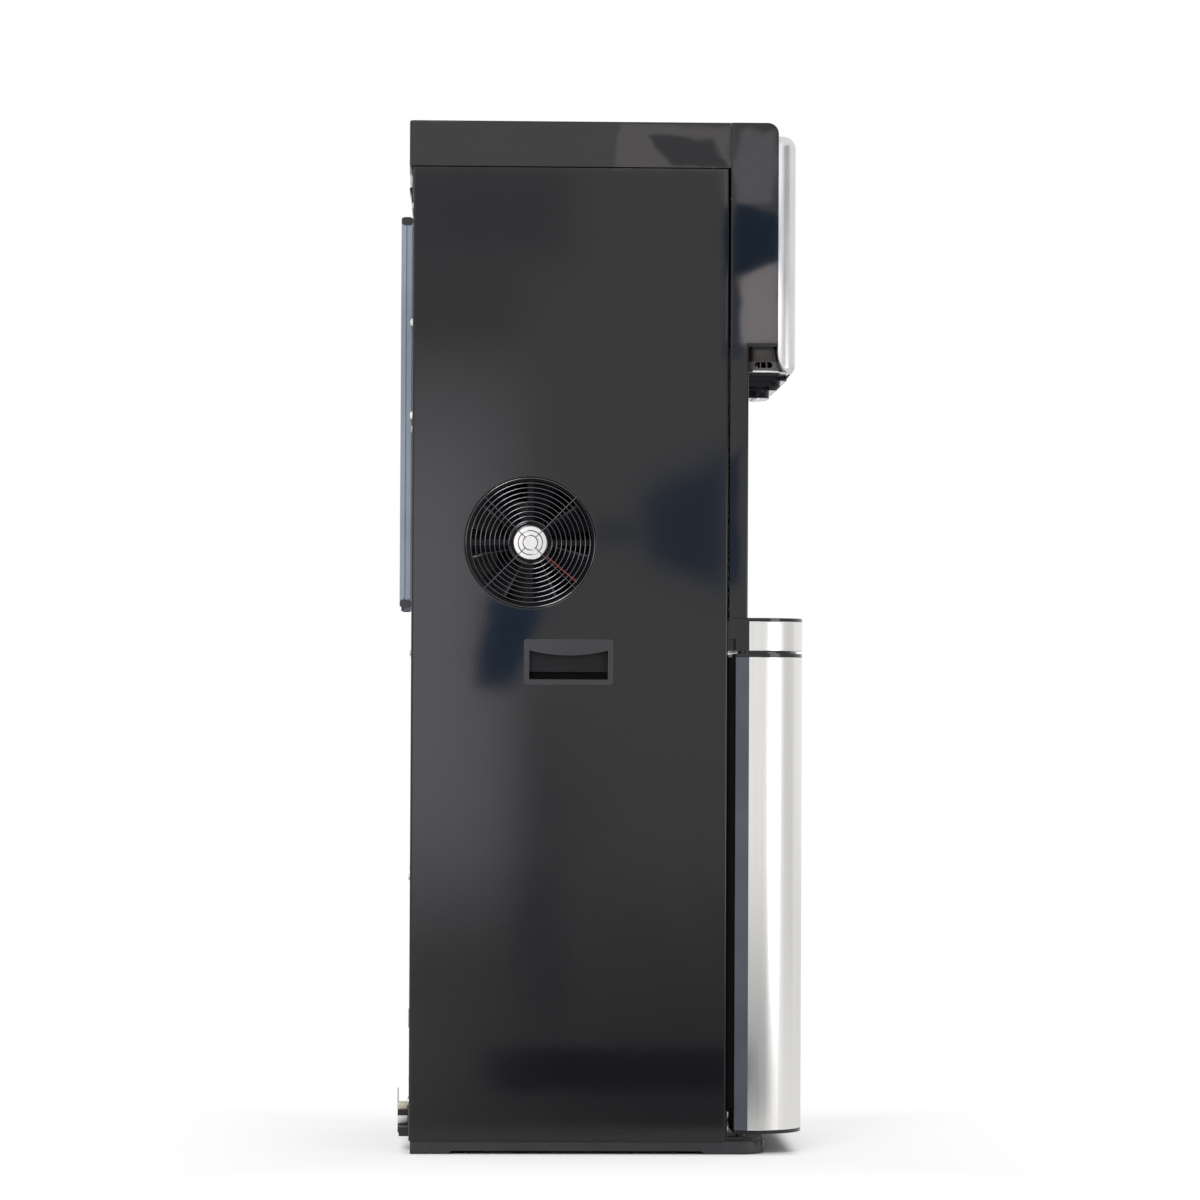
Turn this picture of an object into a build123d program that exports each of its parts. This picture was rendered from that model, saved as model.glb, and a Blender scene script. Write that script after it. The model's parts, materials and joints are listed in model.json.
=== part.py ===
from build123d import *
import os
from math import cos, radians, sin

# Floor-standing bottom-loading water dispenser. Millimetres, +Z up, the front faces -Y,
# the fan side is -X, and the origin lies on the floor in the middle of the overall footprint.

# Cabinet
CABINET_WIDTH = 310.0
CABINET_DEPTH = 319.0
TOTAL_HEIGHT = 1040.0
SHEET = 1.0
SHEET_FOLD = 14.0
FOLD_RADIUS = 2.0
WALL = 2.5
FIT = 0.3
TOP_COVER_HEIGHT = 47.0
TOP_COVER_OVERHANG = 4.0
TOP_COVER_EDGE = 2.0
TOP_COVER_CORNER = 4.0
DECK_SHEET = 1.2
DECK_FLANGE = 12.0
TANK_SHELF_LEVEL = 758.0

# Plinth
PLINTH_HEIGHT = 13.0
PLINTH_INSET = 1.5
PLINTH_REACH = 39.5
PLINTH_CORNER = 26.0
PLINTH_CROWN = 2.0
PLINTH_TOE = 2.0
SILL_HEIGHT = 5.0
SILL_SETBACK = 4.0
SILL_START = 20.0
SILL_DRAFT = 25.0
ARCH_HEIGHT = 3.2
ARCH_SLOPE = 5.0
REAR_FOOT = 37.0
FRONT_FOOT = 60.0
BOTTLE_SEAT_DIAMETER = 274.0
BOTTLE_SEAT_DEPTH = 2.0
PLINTH_POCKET_DEPTH = 4.5
PLINTH_RIB = 8.0

# Door
DOOR_SIDE_INSET = 2.0
DOOR_BOTTOM = 20.5
DOOR_TOP = 504.0
DOOR_GAP = 8.3
DOOR_FRAME_DEPTH = 13.5
DOOR_BOW = 55.5
DOOR_CORNER = 52.0
DOOR_CROWN = 3.0
DOOR_CAP = 3.5
DOOR_LIP = 2.2
DOOR_LIP_INSET = 5.0
SEAL_WIDTH = 8.0
DOOR_RAIL = 18.0
DOOR_SKIN = 1.0
DOOR_CLEARANCE = 3.0
HINGE_SETBACK = 8.0
HINGE_PIN_RADIUS = 3.0
HINGE_PIN_FIT = 0.05
HINGE_PIN_ENGAGEMENT = 10.0
HINGE_PLATE = 1.5
HINGE_LEAF_WIDTH = 11.0
HINGE_LEAF_HEIGHT = 28.0
HINGE_SEAT = 16.0
CATCH_WIDTH = 11.0
CATCH_HEIGHT = 40.0
STRIKE = 0.5

# Drip shelf and tray
SHELF_TOP = 540.0
SHELF_PLATE = 3.5
SHELF_SEAM = 1.6
ALCOVE_DEPTH = 45.0
ALCOVE_CORNER = 14.0
SHELF_LUG_HEIGHT = 18.0
TRAY_WIDTH = 236.0
TRAY_FRONT = 66.0
TRAY_BACK = 38.0
TRAY_DEPTH = 25.0
TRAY_CORNER = 5.0
TRAY_WALL = 2.0
GRILLE_THICKNESS = 2.0
GRILLE_SLOT_WIDTH = 5.0
GRILLE_SLOT_PITCH = 12.0
GRILLE_BORDER = 12.0

# Dispensing head
HEAD_BOTTOM = 814.0
HEAD_REACH = 49.5
HEAD_NOSE = 11.0
HEAD_LOWER_EDGE = 3.2
LEG_WIDTH = 22.0
LEG_DEPTH = 20.0
LEG_EDGE = 2.0
COVER_BOTTOM = 787.0
COVER_TOP_SETBACK = 12.0
COVER_SIDE_INSET = 1.5
COVER_REACH = 67.2
COVER_CORNER = 15.0
COVER_CROWN = 3.0
COVER_TOP_EDGE = 13.0
COVER_EDGE = 8.0
COVER_SWEEP = 15.0
COVER_SWEEP_HEIGHT = 22.0
COVER_WALL = 2.4
HOOD_HALF_WIDTH = 131.0
HOOD_BOTTOM = 791.3
HOOD_BACK = 9.0
HOOD_FRONT = 64.0
HOOD_CORNER = 20.0
HOOD_TRIM = 2.0
HOOD_SLOT_LENGTH = 18.0
HOOD_SLOT_HEIGHT = 6.0
NOZZLE_CENTRE = 37.0
NOZZLE_TIERS = ((29.0, 60.0, 3.8), (22.8, 53.0, 9.3))
NOZZLE_CORNER = 12.0
NOZZLE_CHAMFER = 4.0
OUTLET_LENGTH = 26.0
OUTLET_WIDTH = 60.0
OUTLET_DROP = 6.7
SPOUT_RADIUS = 4.0
SPOUT_WALL = 1.0
SPOUT_SIDES = 12
SPOUT_PITCH = 18.0

# Control panel
PANEL_WIDTH = 150.0
PANEL_HEIGHT = 84.0
PANEL_DROP = 85.0
PANEL_FLANGE = 4.0
PANEL_THICKNESS = 5.0
PANEL_CORNER = 8.0
BUTTON_WIDTH = 36.0
BUTTON_HEIGHT = 22.0
BUTTON_CORNER = 7.0
BUTTON_PITCH = 46.0
BUTTON_DROP = 98.0
BUTTON_TRAVEL = 2.0
BUTTON_PROUD = 1.2
BUTTON_LIP = 1.5
BUTTON_STEM_RADIUS = 3.0
LENS_RADIUS = 2.5
LENS_SIDES = 12
LENS_DROP = 66.0
BOARD_STANDOFF = 11.0
BOARD_THICKNESS = 1.6
POST_RADIUS = 3.0

# Fan
FAN_BACK_OFFSET = 119.5
FAN_LEVEL = 614.6
FAN_HOLE_RADIUS = 66.5
FAN_SIZE = 136.0
FAN_DEPTH = 38.0
FAN_FLANGE = 5.0
FAN_BORE_RADIUS = 62.0
FAN_BARREL_WALL = 2.5
FAN_HOLE_PITCH = 112.0
GUARD_WIRE = 1.5
GUARD_RINGS = 13
GUARD_INNER_RADIUS = 7.4
GUARD_PITCH = 4.8
GUARD_RING_SIDES = 10
GUARD_EYE_RADIUS = 5.0
MOTOR_PLATE_RADIUS = 20.0
MOTOR_PLATE = 3.0
STRUT_WIDTH = 6.0
ROTOR_HUB_RADIUS = 21.5
ROTOR_TIP_GAP = 1.5
ROTOR_END_GAP = 1.5
ROTOR_SHAFT_RADIUS = 2.0
ROTOR_SHAFT_FIT = 0.05
BLADE_COUNT = 7
BLADE_THICKNESS = 1.8
BLADE_ROOT_CHORD = 22.0
BLADE_TIP_CHORD = 36.0
BLADE_ROOT_PITCH = 52.0
BLADE_TIP_PITCH = 32.0
LEAD_RADIUS = 1.0

# Carrying handles
HANDLE_BACK_OFFSET = 158.5
HANDLE_LEVEL = 494.5
HANDLE_WIDTH = 90.0
HANDLE_HEIGHT = 46.0
HANDLE_CORNER = 3.0
HANDLE_PROUD = 0.8
HANDLE_DEPTH = 27.0
HANDLE_FRAME = 5.5
HANDLE_LIP_DROP = 16.5
HANDLE_LIP_SAG = 5.0
HANDLE_LIP_THICKNESS = 6.0
HANDLE_FLOOR_RISE = 7.5

# Condenser
CONDENSER_HALF_WIDTH = 128.0
CONDENSER_RUNS = 9
CONDENSER_PITCH = 47.0
CONDENSER_MIDDLE = 746.5
CONDENSER_TUBE_RADIUS = 2.5
CONDENSER_TUBE_SIDES = 6
CONDENSER_WIRE_RADIUS = 0.9
CONDENSER_WIRE_SIDES = 6
CONDENSER_WIRES = 24
CONDENSER_WIRE_LENGTH = 376.0
CONDENSER_GAP = 4.0
RAIL_SHEET = 1.0
RAIL_LIP = 9.0
RAIL_END = 8.5

# Works inside the cabinet
COMPRESSOR_RADIUS = 62.0
COMPRESSOR_HEIGHT = 165.0
COMPRESSOR_DOME = 26.0
CAN_SIDES = 24
COMPRESSOR_X = 2.0
COMPRESSOR_FOOT_WIDTH = 110.0
GROMMET_RADIUS = 9.0
GROMMET_SIDES = 8
GROMMET_HEIGHT = 10.0
JACKET_SHARE = 0.284
JACKET_WALL = 18.0
JACKET_HEIGHT_SHARE = 0.77
JACKET_SIDE_GAP = 10.0
TANK_BACK_GAP = 10.0
TANK_LID = 6.0
TANK_NECK_RADIUS = 12.0
TANK_NECK_HEIGHT = 14.0
HOT_TANK_SHARE = 0.148
HOT_TANK_HEIGHT_SHARE = 0.6
HOT_TANK_SIDE_GAP = 13.0
PUMP_LENGTH = 62.0
PUMP_WIDTH = 56.0
PUMP_HEIGHT = 46.0
PUMP_SIDE_GAP = 14.0
PUMP_GRIP_GAP = 4.5
VALVE_WIDTH = 22.0
VALVE_HEIGHT = 18.0
VALVE_COIL_RADIUS = 10.0
VALVE_COIL_HEIGHT = 24.0
VALVE_PITCH = 32.0
POWER_BOX_WIDTH = 100.0
POWER_BOX_HEIGHT_SHARE = 0.47
POWER_BOX_DEPTH = 24.0
POWER_BOX_RISE_SHARE = 0.175
POWER_BOX_Y = 80.0

# Bottle probe
PROBE_X = -92.0
PROBE_BACK_OFFSET = 46.0
PROBE_CAP_RADIUS = 28.0
PROBE_CAP_HEIGHT = 30.0
PROBE_NECK_RADIUS = 12.0
PROBE_NECK_HEIGHT = 6.0
PROBE_TUBE_RADIUS = 9.0
PROBE_TUBE_LENGTH = 400.0
PROBE_TUBE_BORE = 6.5
PROBE_BARB_RADIUS = 4.0
PROBE_BARB_HEIGHT = 10.0
HOOK_SHEET = 2.0
HOOK_DROP = 48.0
HOOK_WIDTH = 50.0

# Rear services
SWITCH_DROP = 64.0
SWITCH_PITCH = 24.0
SWITCH_WIDTH = 13.0
SWITCH_RADIUS = 9.5
SWITCH_THROW = 16.0
SWITCH_BEZEL_WIDTH = 80.0
SWITCH_BEZEL_HEIGHT = 31.0
SWITCH_BEZEL = 2.5
SWITCH_CAN_DEPTH = 14.0
SWITCH_FIT = 0.4
DRAIN_X = -104.0
DRAIN_CHEEK = 3.0
DRAIN_FOOT = 9.4
DRAIN_HOLDER_BOTTOM = 14.0
DRAIN_PITCH = 30.0
DRAIN_LEVEL = 45.0
DRAIN_STEP = 17.0
DRAIN_SIDES = 16
DRAIN_RADIUS = 2.8
DRAIN_BORE = 1.7
DRAIN_REACH = 9.0
DRAIN_MARGIN = 6.0
DRAIN_FLANGE = 2.0
DRAIN_CAP_RADIUS = 4.3
DRAIN_CAP_WALL = 1.4
VENT_SLOT_WIDTH = 96.0
VENT_SLOT_HEIGHT = 5.0
VENT_GAP = 20.0
VENT_PITCH = 14.0
VENT_ROWS = 8
GLAND_X = 104.0
GLAND_LEVEL = 120.0
GLAND_RADIUS = 9.0
GLAND_BORE = 4.0
GLAND_REACH = 6.0
SCREW_ACROSS = 3.6
SCREW_HEIGHT = 1.4
REAR_SCREW_STEPS = (0.04, 0.27, 0.5, 0.73, 0.96)
HINGE_SCREW_STEPS = (0.32, 0.84)

# Derived reference planes
half_width = CABINET_WIDTH / 2
wire_apothem = CONDENSER_WIRE_RADIUS * cos(radians(180 / CONDENSER_WIRE_SIDES))
condenser_depth = 2 * CONDENSER_TUBE_RADIUS + 4 * wire_apothem
rear_reach = CONDENSER_GAP + condenser_depth
door_reach = DOOR_GAP + DOOR_FRAME_DEPTH + DOOR_BOW + DOOR_CROWN
total_depth = door_reach + CABINET_DEPTH + rear_reach
front_y = door_reach - total_depth / 2
back_y = front_y + CABINET_DEPTH
panel_top = TOTAL_HEIGHT - TOP_COVER_HEIGHT
panel_inner_x = half_width - SHEET
panel_level = TOTAL_HEIGHT - PANEL_DROP
button_level = TOTAL_HEIGHT - BUTTON_DROP
lens_level = TOTAL_HEIGHT - LENS_DROP
switch_level = TOTAL_HEIGHT - SWITCH_DROP
back_outer_y = back_y - SHEET
back_inner_y = back_outer_y - SHEET
door_back_y = front_y - DOOR_GAP
door_face_y = door_back_y - DOOR_FRAME_DEPTH
door_front_y = door_face_y - DOOR_BOW
door_half = half_width - DOOR_SIDE_INSET
door_width = 2 * door_half
hinge_x = -(door_half - HINGE_SETBACK)
hinge_y = door_back_y - DOOR_FRAME_DEPTH / 2
shelf_bottom = DOOR_TOP + DOOR_CLEARANCE
shelf_plate_bottom = SHELF_TOP - SHELF_PLATE
alcove_back_y = front_y + ALCOVE_DEPTH
alcove_half = half_width - LEG_WIDTH
frame_back_y = front_y - SHELF_SEAM
head_front_y = front_y - HEAD_REACH
cover_front_y = front_y - COVER_REACH
cover_top = TOTAL_HEIGHT - COVER_TOP_SETBACK
cover_inner_y = cover_front_y + COVER_WALL
deck_top = shelf_bottom + DECK_SHEET
tank_shelf_top = TANK_SHELF_LEVEL + DECK_SHEET
works_height = panel_top - tank_shelf_top
jacket_radius = CABINET_WIDTH * JACKET_SHARE
jacket_height = works_height * JACKET_HEIGHT_SHARE
cold_tank_x = jacket_radius + JACKET_SIDE_GAP - panel_inner_x
hot_tank_radius = CABINET_WIDTH * HOT_TANK_SHARE
hot_tank_height = works_height * HOT_TANK_HEIGHT_SHARE
hot_tank_x = panel_inner_x - hot_tank_radius - HOT_TANK_SIDE_GAP
power_box_height = works_height * POWER_BOX_HEIGHT_SHARE
power_box_level = tank_shelf_top + works_height * POWER_BOX_RISE_SHARE
fan_y = back_y - FAN_BACK_OFFSET
guard_back_x = -panel_inner_x + GUARD_WIRE
fan_front_x = guard_back_x
handle_y = back_y - HANDLE_BACK_OFFSET
pump_x = panel_inner_x - PUMP_SIDE_GAP - PUMP_WIDTH / 2
pump_y = handle_y + HANDLE_WIDTH / 2 + PUMP_GRIP_GAP + PUMP_LENGTH / 2
condenser_y = back_y + CONDENSER_GAP + condenser_depth / 2
bay_middle_y = (front_y + back_inner_y) / 2

MIDDLE_MIDDLE_LOW = (Align.CENTER, Align.CENTER, Align.MIN)
MIDDLE_MIDDLE_HIGH = (Align.CENTER, Align.CENTER, Align.MAX)
MIDDLE_LOW_LOW = (Align.CENTER, Align.MIN, Align.MIN)
MIDDLE_HIGH_LOW = (Align.CENTER, Align.MAX, Align.MIN)


def bow_outline(half, rear, front, corner, crown):
    """Plan of a front piece: straight sides, rounded front corners and a crowned front."""
    with BuildSketch() as outline:
        with BuildLine():
            Polyline((-half, front), (-half, rear), (half, rear), (half, front))
            ThreePointArc((half, front), (0, front - crown), (-half, front))
        make_face()
        fillet(outline.vertices().group_by(Axis.Y)[0], corner)
    return outline.sketch


def plane_facing_front(y):
    """Sketch plane at depth y, seen from the front: local x is X and local y is Z."""
    return Plane.XZ.offset(-y)


# Plinth: a moulded base with a raised sill under the door, two feet and a seat for the bottle
plinth_half = half_width - PLINTH_INSET
plinth_back = back_y - PLINTH_INSET
plinth_front = front_y - PLINTH_REACH

with BuildPart() as base_plinth:
    with BuildSketch():
        add(bow_outline(plinth_half, plinth_back, plinth_front, PLINTH_CORNER, PLINTH_CROWN))
    extrude(amount=PLINTH_HEIGHT)
    with BuildSketch(Plane.XY.offset(PLINTH_HEIGHT)):
        add(
            bow_outline(
                plinth_half - SILL_SETBACK,
                front_y - SILL_START,
                plinth_front + PLINTH_TOE,
                SILL_START - PLINTH_TOE - SILL_SETBACK,
                PLINTH_CROWN,
            )
        )
    extrude(amount=SILL_HEIGHT, taper=SILL_DRAFT)
    toe = base_plinth.edges().group_by(Axis.Z)[0].filter_by(lambda e: e.center().Y < front_y - 1)
    fillet(toe.sort_by(Axis.Y)[0:3], PLINTH_TOE)
    with BuildSketch(Plane.YZ.offset(-plinth_half)):
        with BuildLine():
            arch_back = plinth_back - REAR_FOOT
            arch_front = plinth_front + FRONT_FOOT
            Polyline(
                (arch_front, 0),
                (arch_front + ARCH_SLOPE, ARCH_HEIGHT),
                (arch_back - ARCH_SLOPE, ARCH_HEIGHT),
                (arch_back, 0),
                close=True,
            )
        make_face()
    extrude(amount=2 * plinth_half, mode=Mode.SUBTRACT)
    with BuildSketch(Plane.XY.offset(ARCH_HEIGHT)):
        pocket_length = (arch_back - arch_front - 2 * ARCH_SLOPE - 3 * PLINTH_RIB) / 2
        pocket_width = (2 * plinth_half - 4 * PLINTH_RIB) / 3
        with Locations((0, (arch_back + arch_front) / 2)):
            with GridLocations(pocket_width + PLINTH_RIB, pocket_length + PLINTH_RIB, 3, 2):
                Rectangle(pocket_width, pocket_length)
    extrude(amount=PLINTH_POCKET_DEPTH, mode=Mode.SUBTRACT)
    with Locations((0, bay_middle_y, PLINTH_HEIGHT)):
        Cylinder(
            BOTTLE_SEAT_DIAMETER / 2,
            BOTTLE_SEAT_DEPTH,
            align=MIDDLE_MIDDLE_HIGH,
            mode=Mode.SUBTRACT,
        )


def make_side_panel(side):
    """Folded sheet side with the handle opening, and the fan opening on the -X side."""
    skin_x = side * (half_width - SHEET / 2)
    fold_x = side * (half_width - SHEET_FOLD)
    with BuildPart() as panel:
        with BuildSketch(Plane.XY.offset(PLINTH_HEIGHT)):
            with BuildLine():
                FilletPolyline(
                    (fold_x, front_y + SHEET / 2),
                    (skin_x, front_y + SHEET / 2),
                    (skin_x, back_y - SHEET / 2),
                    (fold_x, back_y - SHEET / 2),
                    radius=FOLD_RADIUS,
                )
            trace(line_width=SHEET)
        extrude(amount=panel_top - PLINTH_HEIGHT)
        with BuildSketch(Plane.YZ.offset(side * half_width)):
            with Locations((handle_y, HANDLE_LEVEL)):
                Rectangle(HANDLE_WIDTH - 2 * HANDLE_FRAME + 2 * FIT + 2 * WALL,
                          HANDLE_HEIGHT - 2 * HANDLE_FRAME + 2 * FIT + 2 * WALL)
            if side < 0:
                with Locations((fan_y, FAN_LEVEL)):
                    Circle(FAN_HOLE_RADIUS)
        extrude(amount=2 * SHEET, both=True, mode=Mode.SUBTRACT)
    return panel


left_side_panel = make_side_panel(-1)
right_side_panel = make_side_panel(1)

# Back panel: sheet behind the works, with air slots and openings for the rear services
switch_can_width = 2 * SWITCH_PITCH + SWITCH_WIDTH + 2 * SWITCH_FIT + 2 * WALL
switch_can_height = 2 * (SWITCH_RADIUS + SWITCH_FIT) + 2 * WALL
drain_places = [
    (DRAIN_X, DRAIN_LEVEL),
    (DRAIN_X + DRAIN_PITCH, DRAIN_LEVEL - DRAIN_STEP),
]
back_half = panel_inner_x - FOLD_RADIUS

with BuildPart() as back_panel:
    with Locations((0, back_outer_y, PLINTH_HEIGHT)):
        Box(2 * back_half, SHEET, panel_top - PLINTH_HEIGHT, align=MIDDLE_HIGH_LOW)
    with BuildSketch(plane_facing_front(back_outer_y)):
        with Locations((0, FAN_LEVEL)):
            with GridLocations(VENT_SLOT_WIDTH + VENT_GAP, VENT_PITCH, 2, VENT_ROWS):
                Rectangle(VENT_SLOT_WIDTH, VENT_SLOT_HEIGHT)
        with Locations((0, switch_level)):
            Rectangle(switch_can_width + 2 * FIT, switch_can_height + 2 * FIT)
        with Locations(*drain_places):
            Circle(DRAIN_RADIUS + FIT)
        with Locations((GLAND_X, GLAND_LEVEL)):
            Circle(GLAND_RADIUS + FIT)
    extrude(amount=2 * SHEET, both=True, mode=Mode.SUBTRACT)

# Top cover: gloss moulding that caps the cabinet and overhangs the back
top_front_y = frame_back_y + FIT
top_back_y = back_y + TOP_COVER_OVERHANG

with BuildPart() as top_cover:
    with Locations((0, top_front_y, panel_top)):
        Box(CABINET_WIDTH, top_back_y - top_front_y, TOP_COVER_HEIGHT, align=MIDDLE_LOW_LOW)
    fillet(top_cover.edges().filter_by(Axis.Z).group_by(Axis.Y)[-1], TOP_COVER_CORNER)
    fillet(top_cover.faces().sort_by(Axis.Z)[-1].edges().sort_by(Axis.Y)[1:], TOP_COVER_EDGE)
    with Locations((0, top_front_y + WALL, panel_top)):
        Box(
            CABINET_WIDTH - 2 * WALL,
            top_back_y - top_front_y - 2 * WALL,
            TOP_COVER_HEIGHT - WALL,
            align=MIDDLE_LOW_LOW,
            mode=Mode.SUBTRACT,
        )

# Front frame: the head's box and the two legs beside the alcove, open to the back
leg_front_y = front_y - LEG_DEPTH

with BuildPart() as front_frame:
    with BuildSketch(Plane.YZ.offset(-half_width)) as head_side:
        with BuildLine():
            Polyline(
                (frame_back_y, HEAD_BOTTOM),
                (head_front_y, HEAD_BOTTOM),
                (head_front_y, TOTAL_HEIGHT),
                (frame_back_y, TOTAL_HEIGHT),
                close=True,
            )
        make_face()
        fillet(head_side.vertices().group_by(Axis.X)[0].sort_by(Axis.Y)[-1], HEAD_NOSE)
    extrude(amount=CABINET_WIDTH)
    for side in (-1, 1):
        with Locations((side * (half_width - LEG_WIDTH / 2), frame_back_y, SHELF_TOP)):
            Box(
                LEG_WIDTH,
                frame_back_y - leg_front_y,
                HEAD_BOTTOM - SHELF_TOP,
                align=MIDDLE_HIGH_LOW,
            )
    leg_edges = front_frame.edges().filter_by(Axis.Z).filter_by(
        lambda e: e.length < HEAD_BOTTOM - SHELF_TOP + 1 and abs(e.center().Y - leg_front_y) < 0.1
    )
    fillet(leg_edges, LEG_EDGE)
    head_lower_edges = front_frame.edges().filter_by(Axis.Y).filter_by(
        lambda e: abs(e.center().Z - HEAD_BOTTOM) < 0.1 and abs(e.center().X) > half_width - 0.1
    )
    chamfer(head_lower_edges, HEAD_LOWER_EDGE)
    with BuildSketch(Plane.YZ.offset(-half_width + WALL)) as head_hollow:
        with BuildLine():
            Polyline(
                (frame_back_y, HEAD_BOTTOM + WALL),
                (head_front_y + WALL, HEAD_BOTTOM + WALL),
                (head_front_y + WALL, TOTAL_HEIGHT - WALL),
                (frame_back_y, TOTAL_HEIGHT - WALL),
                close=True,
            )
        make_face()
        fillet(
            head_hollow.vertices().group_by(Axis.X)[0].sort_by(Axis.Y)[-1], HEAD_NOSE - WALL
        )
    extrude(amount=CABINET_WIDTH - 2 * WALL, mode=Mode.SUBTRACT)
    for side in (-1, 1):
        with Locations((side * (half_width - LEG_WIDTH / 2), frame_back_y, SHELF_TOP)):
            Box(
                LEG_WIDTH - 2 * WALL,
                frame_back_y - leg_front_y - WALL,
                HEAD_BOTTOM + WALL - SHELF_TOP,
                align=MIDDLE_HIGH_LOW,
                mode=Mode.SUBTRACT,
            )
    with Locations((0, head_front_y, (HEAD_BOTTOM + TOTAL_HEIGHT) / 2)):
        Box(PANEL_WIDTH, 4 * WALL, PANEL_HEIGHT, mode=Mode.SUBTRACT)
    with Locations((0, front_y - NOZZLE_CENTRE, HEAD_BOTTOM)):
        Box(OUTLET_WIDTH, HEAD_REACH - NOZZLE_CENTRE, 4 * WALL, mode=Mode.SUBTRACT)

# Front cover of the head: silver moulding with soft edges, a control window and a hood gap
cover_half = half_width - COVER_SIDE_INSET
hood_depth = HOOD_FRONT - HOOD_BACK
hood_y = front_y - (HOOD_FRONT + HOOD_BACK) / 2

with BuildPart() as head_front_cover:
    with BuildSketch(Plane.XY.offset(COVER_BOTTOM)):
        add(bow_outline(cover_half, head_front_y, cover_front_y, COVER_CORNER, COVER_CROWN))
    extrude(amount=cover_top - COVER_BOTTOM)
    rims = head_front_cover.edges().group_by(Axis.Z)
    fillet(rims[-1].sort_by(Axis.Y)[:-1], COVER_TOP_EDGE)
    fillet(rims[0].sort_by(Axis.Y)[:-1], COVER_EDGE)
    with Locations((0, cover_inner_y, COVER_BOTTOM + COVER_WALL)):
        Box(
            2 * (cover_half - COVER_CORNER),
            head_front_y - cover_inner_y,
            cover_top - COVER_BOTTOM - 2 * COVER_WALL,
            align=MIDDLE_LOW_LOW,
            mode=Mode.SUBTRACT,
        )
    with Locations((0, head_front_y, COVER_BOTTOM + COVER_WALL)):
        Box(
            2 * (cover_half - COVER_CORNER),
            head_front_y - cover_inner_y,
            COVER_SWEEP_HEIGHT,
            align=MIDDLE_HIGH_LOW,
        )
    with BuildSketch(Plane.YZ.offset(-cover_half)):
        with BuildLine():
            EllipticalCenterArc(
                (head_front_y - COVER_SWEEP, COVER_BOTTOM + COVER_SWEEP_HEIGHT),
                COVER_SWEEP,
                COVER_SWEEP_HEIGHT,
                start_angle=270,
                arc_size=90,
            )
            Polyline(
                (head_front_y, COVER_BOTTOM + COVER_SWEEP_HEIGHT),
                (head_front_y, COVER_BOTTOM),
                (head_front_y - COVER_SWEEP, COVER_BOTTOM),
            )
        make_face()
    extrude(amount=2 * cover_half, mode=Mode.SUBTRACT)
    with Locations((0, cover_inner_y, COVER_BOTTOM)):
        Box(
            2 * (HOOD_HALF_WIDTH + HOOD_TRIM),
            head_front_y - cover_inner_y,
            COVER_SWEEP_HEIGHT + 2 * COVER_WALL,
            align=MIDDLE_LOW_LOW,
            mode=Mode.SUBTRACT,
        )
        Box(
            2 * (HOOD_HALF_WIDTH + HOOD_TRIM),
            head_front_y - cover_inner_y,
            HOOD_BOTTOM - HOOD_TRIM - COVER_BOTTOM,
            align=MIDDLE_MIDDLE_LOW,
            mode=Mode.SUBTRACT,
        )
    with BuildSketch(plane_facing_front(cover_inner_y)):
        with Locations((0, panel_level)):
            RectangleRounded(PANEL_WIDTH, PANEL_HEIGHT, PANEL_CORNER)
    extrude(amount=COVER_WALL + COVER_CROWN + FIT, mode=Mode.SUBTRACT)

# Control panel: gloss plate held behind the cover, with button and lamp openings and board posts
flange_back_y = cover_inner_y + WALL
board_y = flange_back_y + BOARD_STANDOFF
button_places = [(step * BUTTON_PITCH, button_level) for step in (-1, 0, 1)]
lens_places = [(x, lens_level) for x, level in button_places]

with BuildPart() as control_panel:
    with BuildSketch(plane_facing_front(cover_inner_y)):
        with Locations((0, panel_level)):
            RectangleRounded(PANEL_WIDTH - 2 * FIT, PANEL_HEIGHT - 2 * FIT, PANEL_CORNER - FIT)
    extrude(amount=PANEL_THICKNESS)
    with BuildSketch(plane_facing_front(flange_back_y)):
        with Locations((0, panel_level)):
            Rectangle(PANEL_WIDTH + 2 * PANEL_FLANGE, PANEL_HEIGHT + 2 * PANEL_FLANGE)
    extrude(amount=WALL)
    with BuildSketch(plane_facing_front(flange_back_y)):
        with Locations((0, panel_level)):
            with GridLocations(PANEL_WIDTH, PANEL_HEIGHT, 2, 2):
                Rectangle(2 * POST_RADIUS, 2 * POST_RADIUS)
    extrude(amount=-BOARD_STANDOFF)
    with BuildSketch(plane_facing_front(flange_back_y)):
        with Locations(*button_places):
            RectangleRounded(
                BUTTON_WIDTH + 2 * FIT, BUTTON_HEIGHT + 2 * FIT, BUTTON_CORNER + FIT
            )
        with Locations(*lens_places):
            RegularPolygon(LENS_RADIUS, LENS_SIDES)
    extrude(amount=WALL + PANEL_THICKNESS, mode=Mode.SUBTRACT)


def make_button(x):
    """Push button: a key through the panel, a lip that keeps it in and a stem to its switch."""
    with BuildPart() as button:
        with BuildSketch(plane_facing_front(flange_back_y)):
            with Locations((x, button_level)):
                RectangleRounded(BUTTON_WIDTH, BUTTON_HEIGHT, BUTTON_CORNER)
        extrude(amount=WALL + PANEL_THICKNESS + BUTTON_PROUD)
        chamfer(button.faces().sort_by(Axis.Y)[0].edges(), BUTTON_PROUD / 2)
        with BuildSketch(plane_facing_front(flange_back_y)):
            with Locations((x, button_level)):
                Rectangle(BUTTON_WIDTH + 2 * BUTTON_LIP, BUTTON_HEIGHT + 2 * BUTTON_LIP)
        extrude(amount=-BUTTON_LIP)
        with BuildSketch(plane_facing_front(flange_back_y + BUTTON_LIP)):
            with Locations((x, button_level)):
                Rectangle(2 * BUTTON_STEM_RADIUS, 2 * BUTTON_STEM_RADIUS)
        extrude(amount=-BUTTON_TRAVEL)
    return button


hot_button, room_button, cold_button = [make_button(x) for x, level in button_places]

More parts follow.
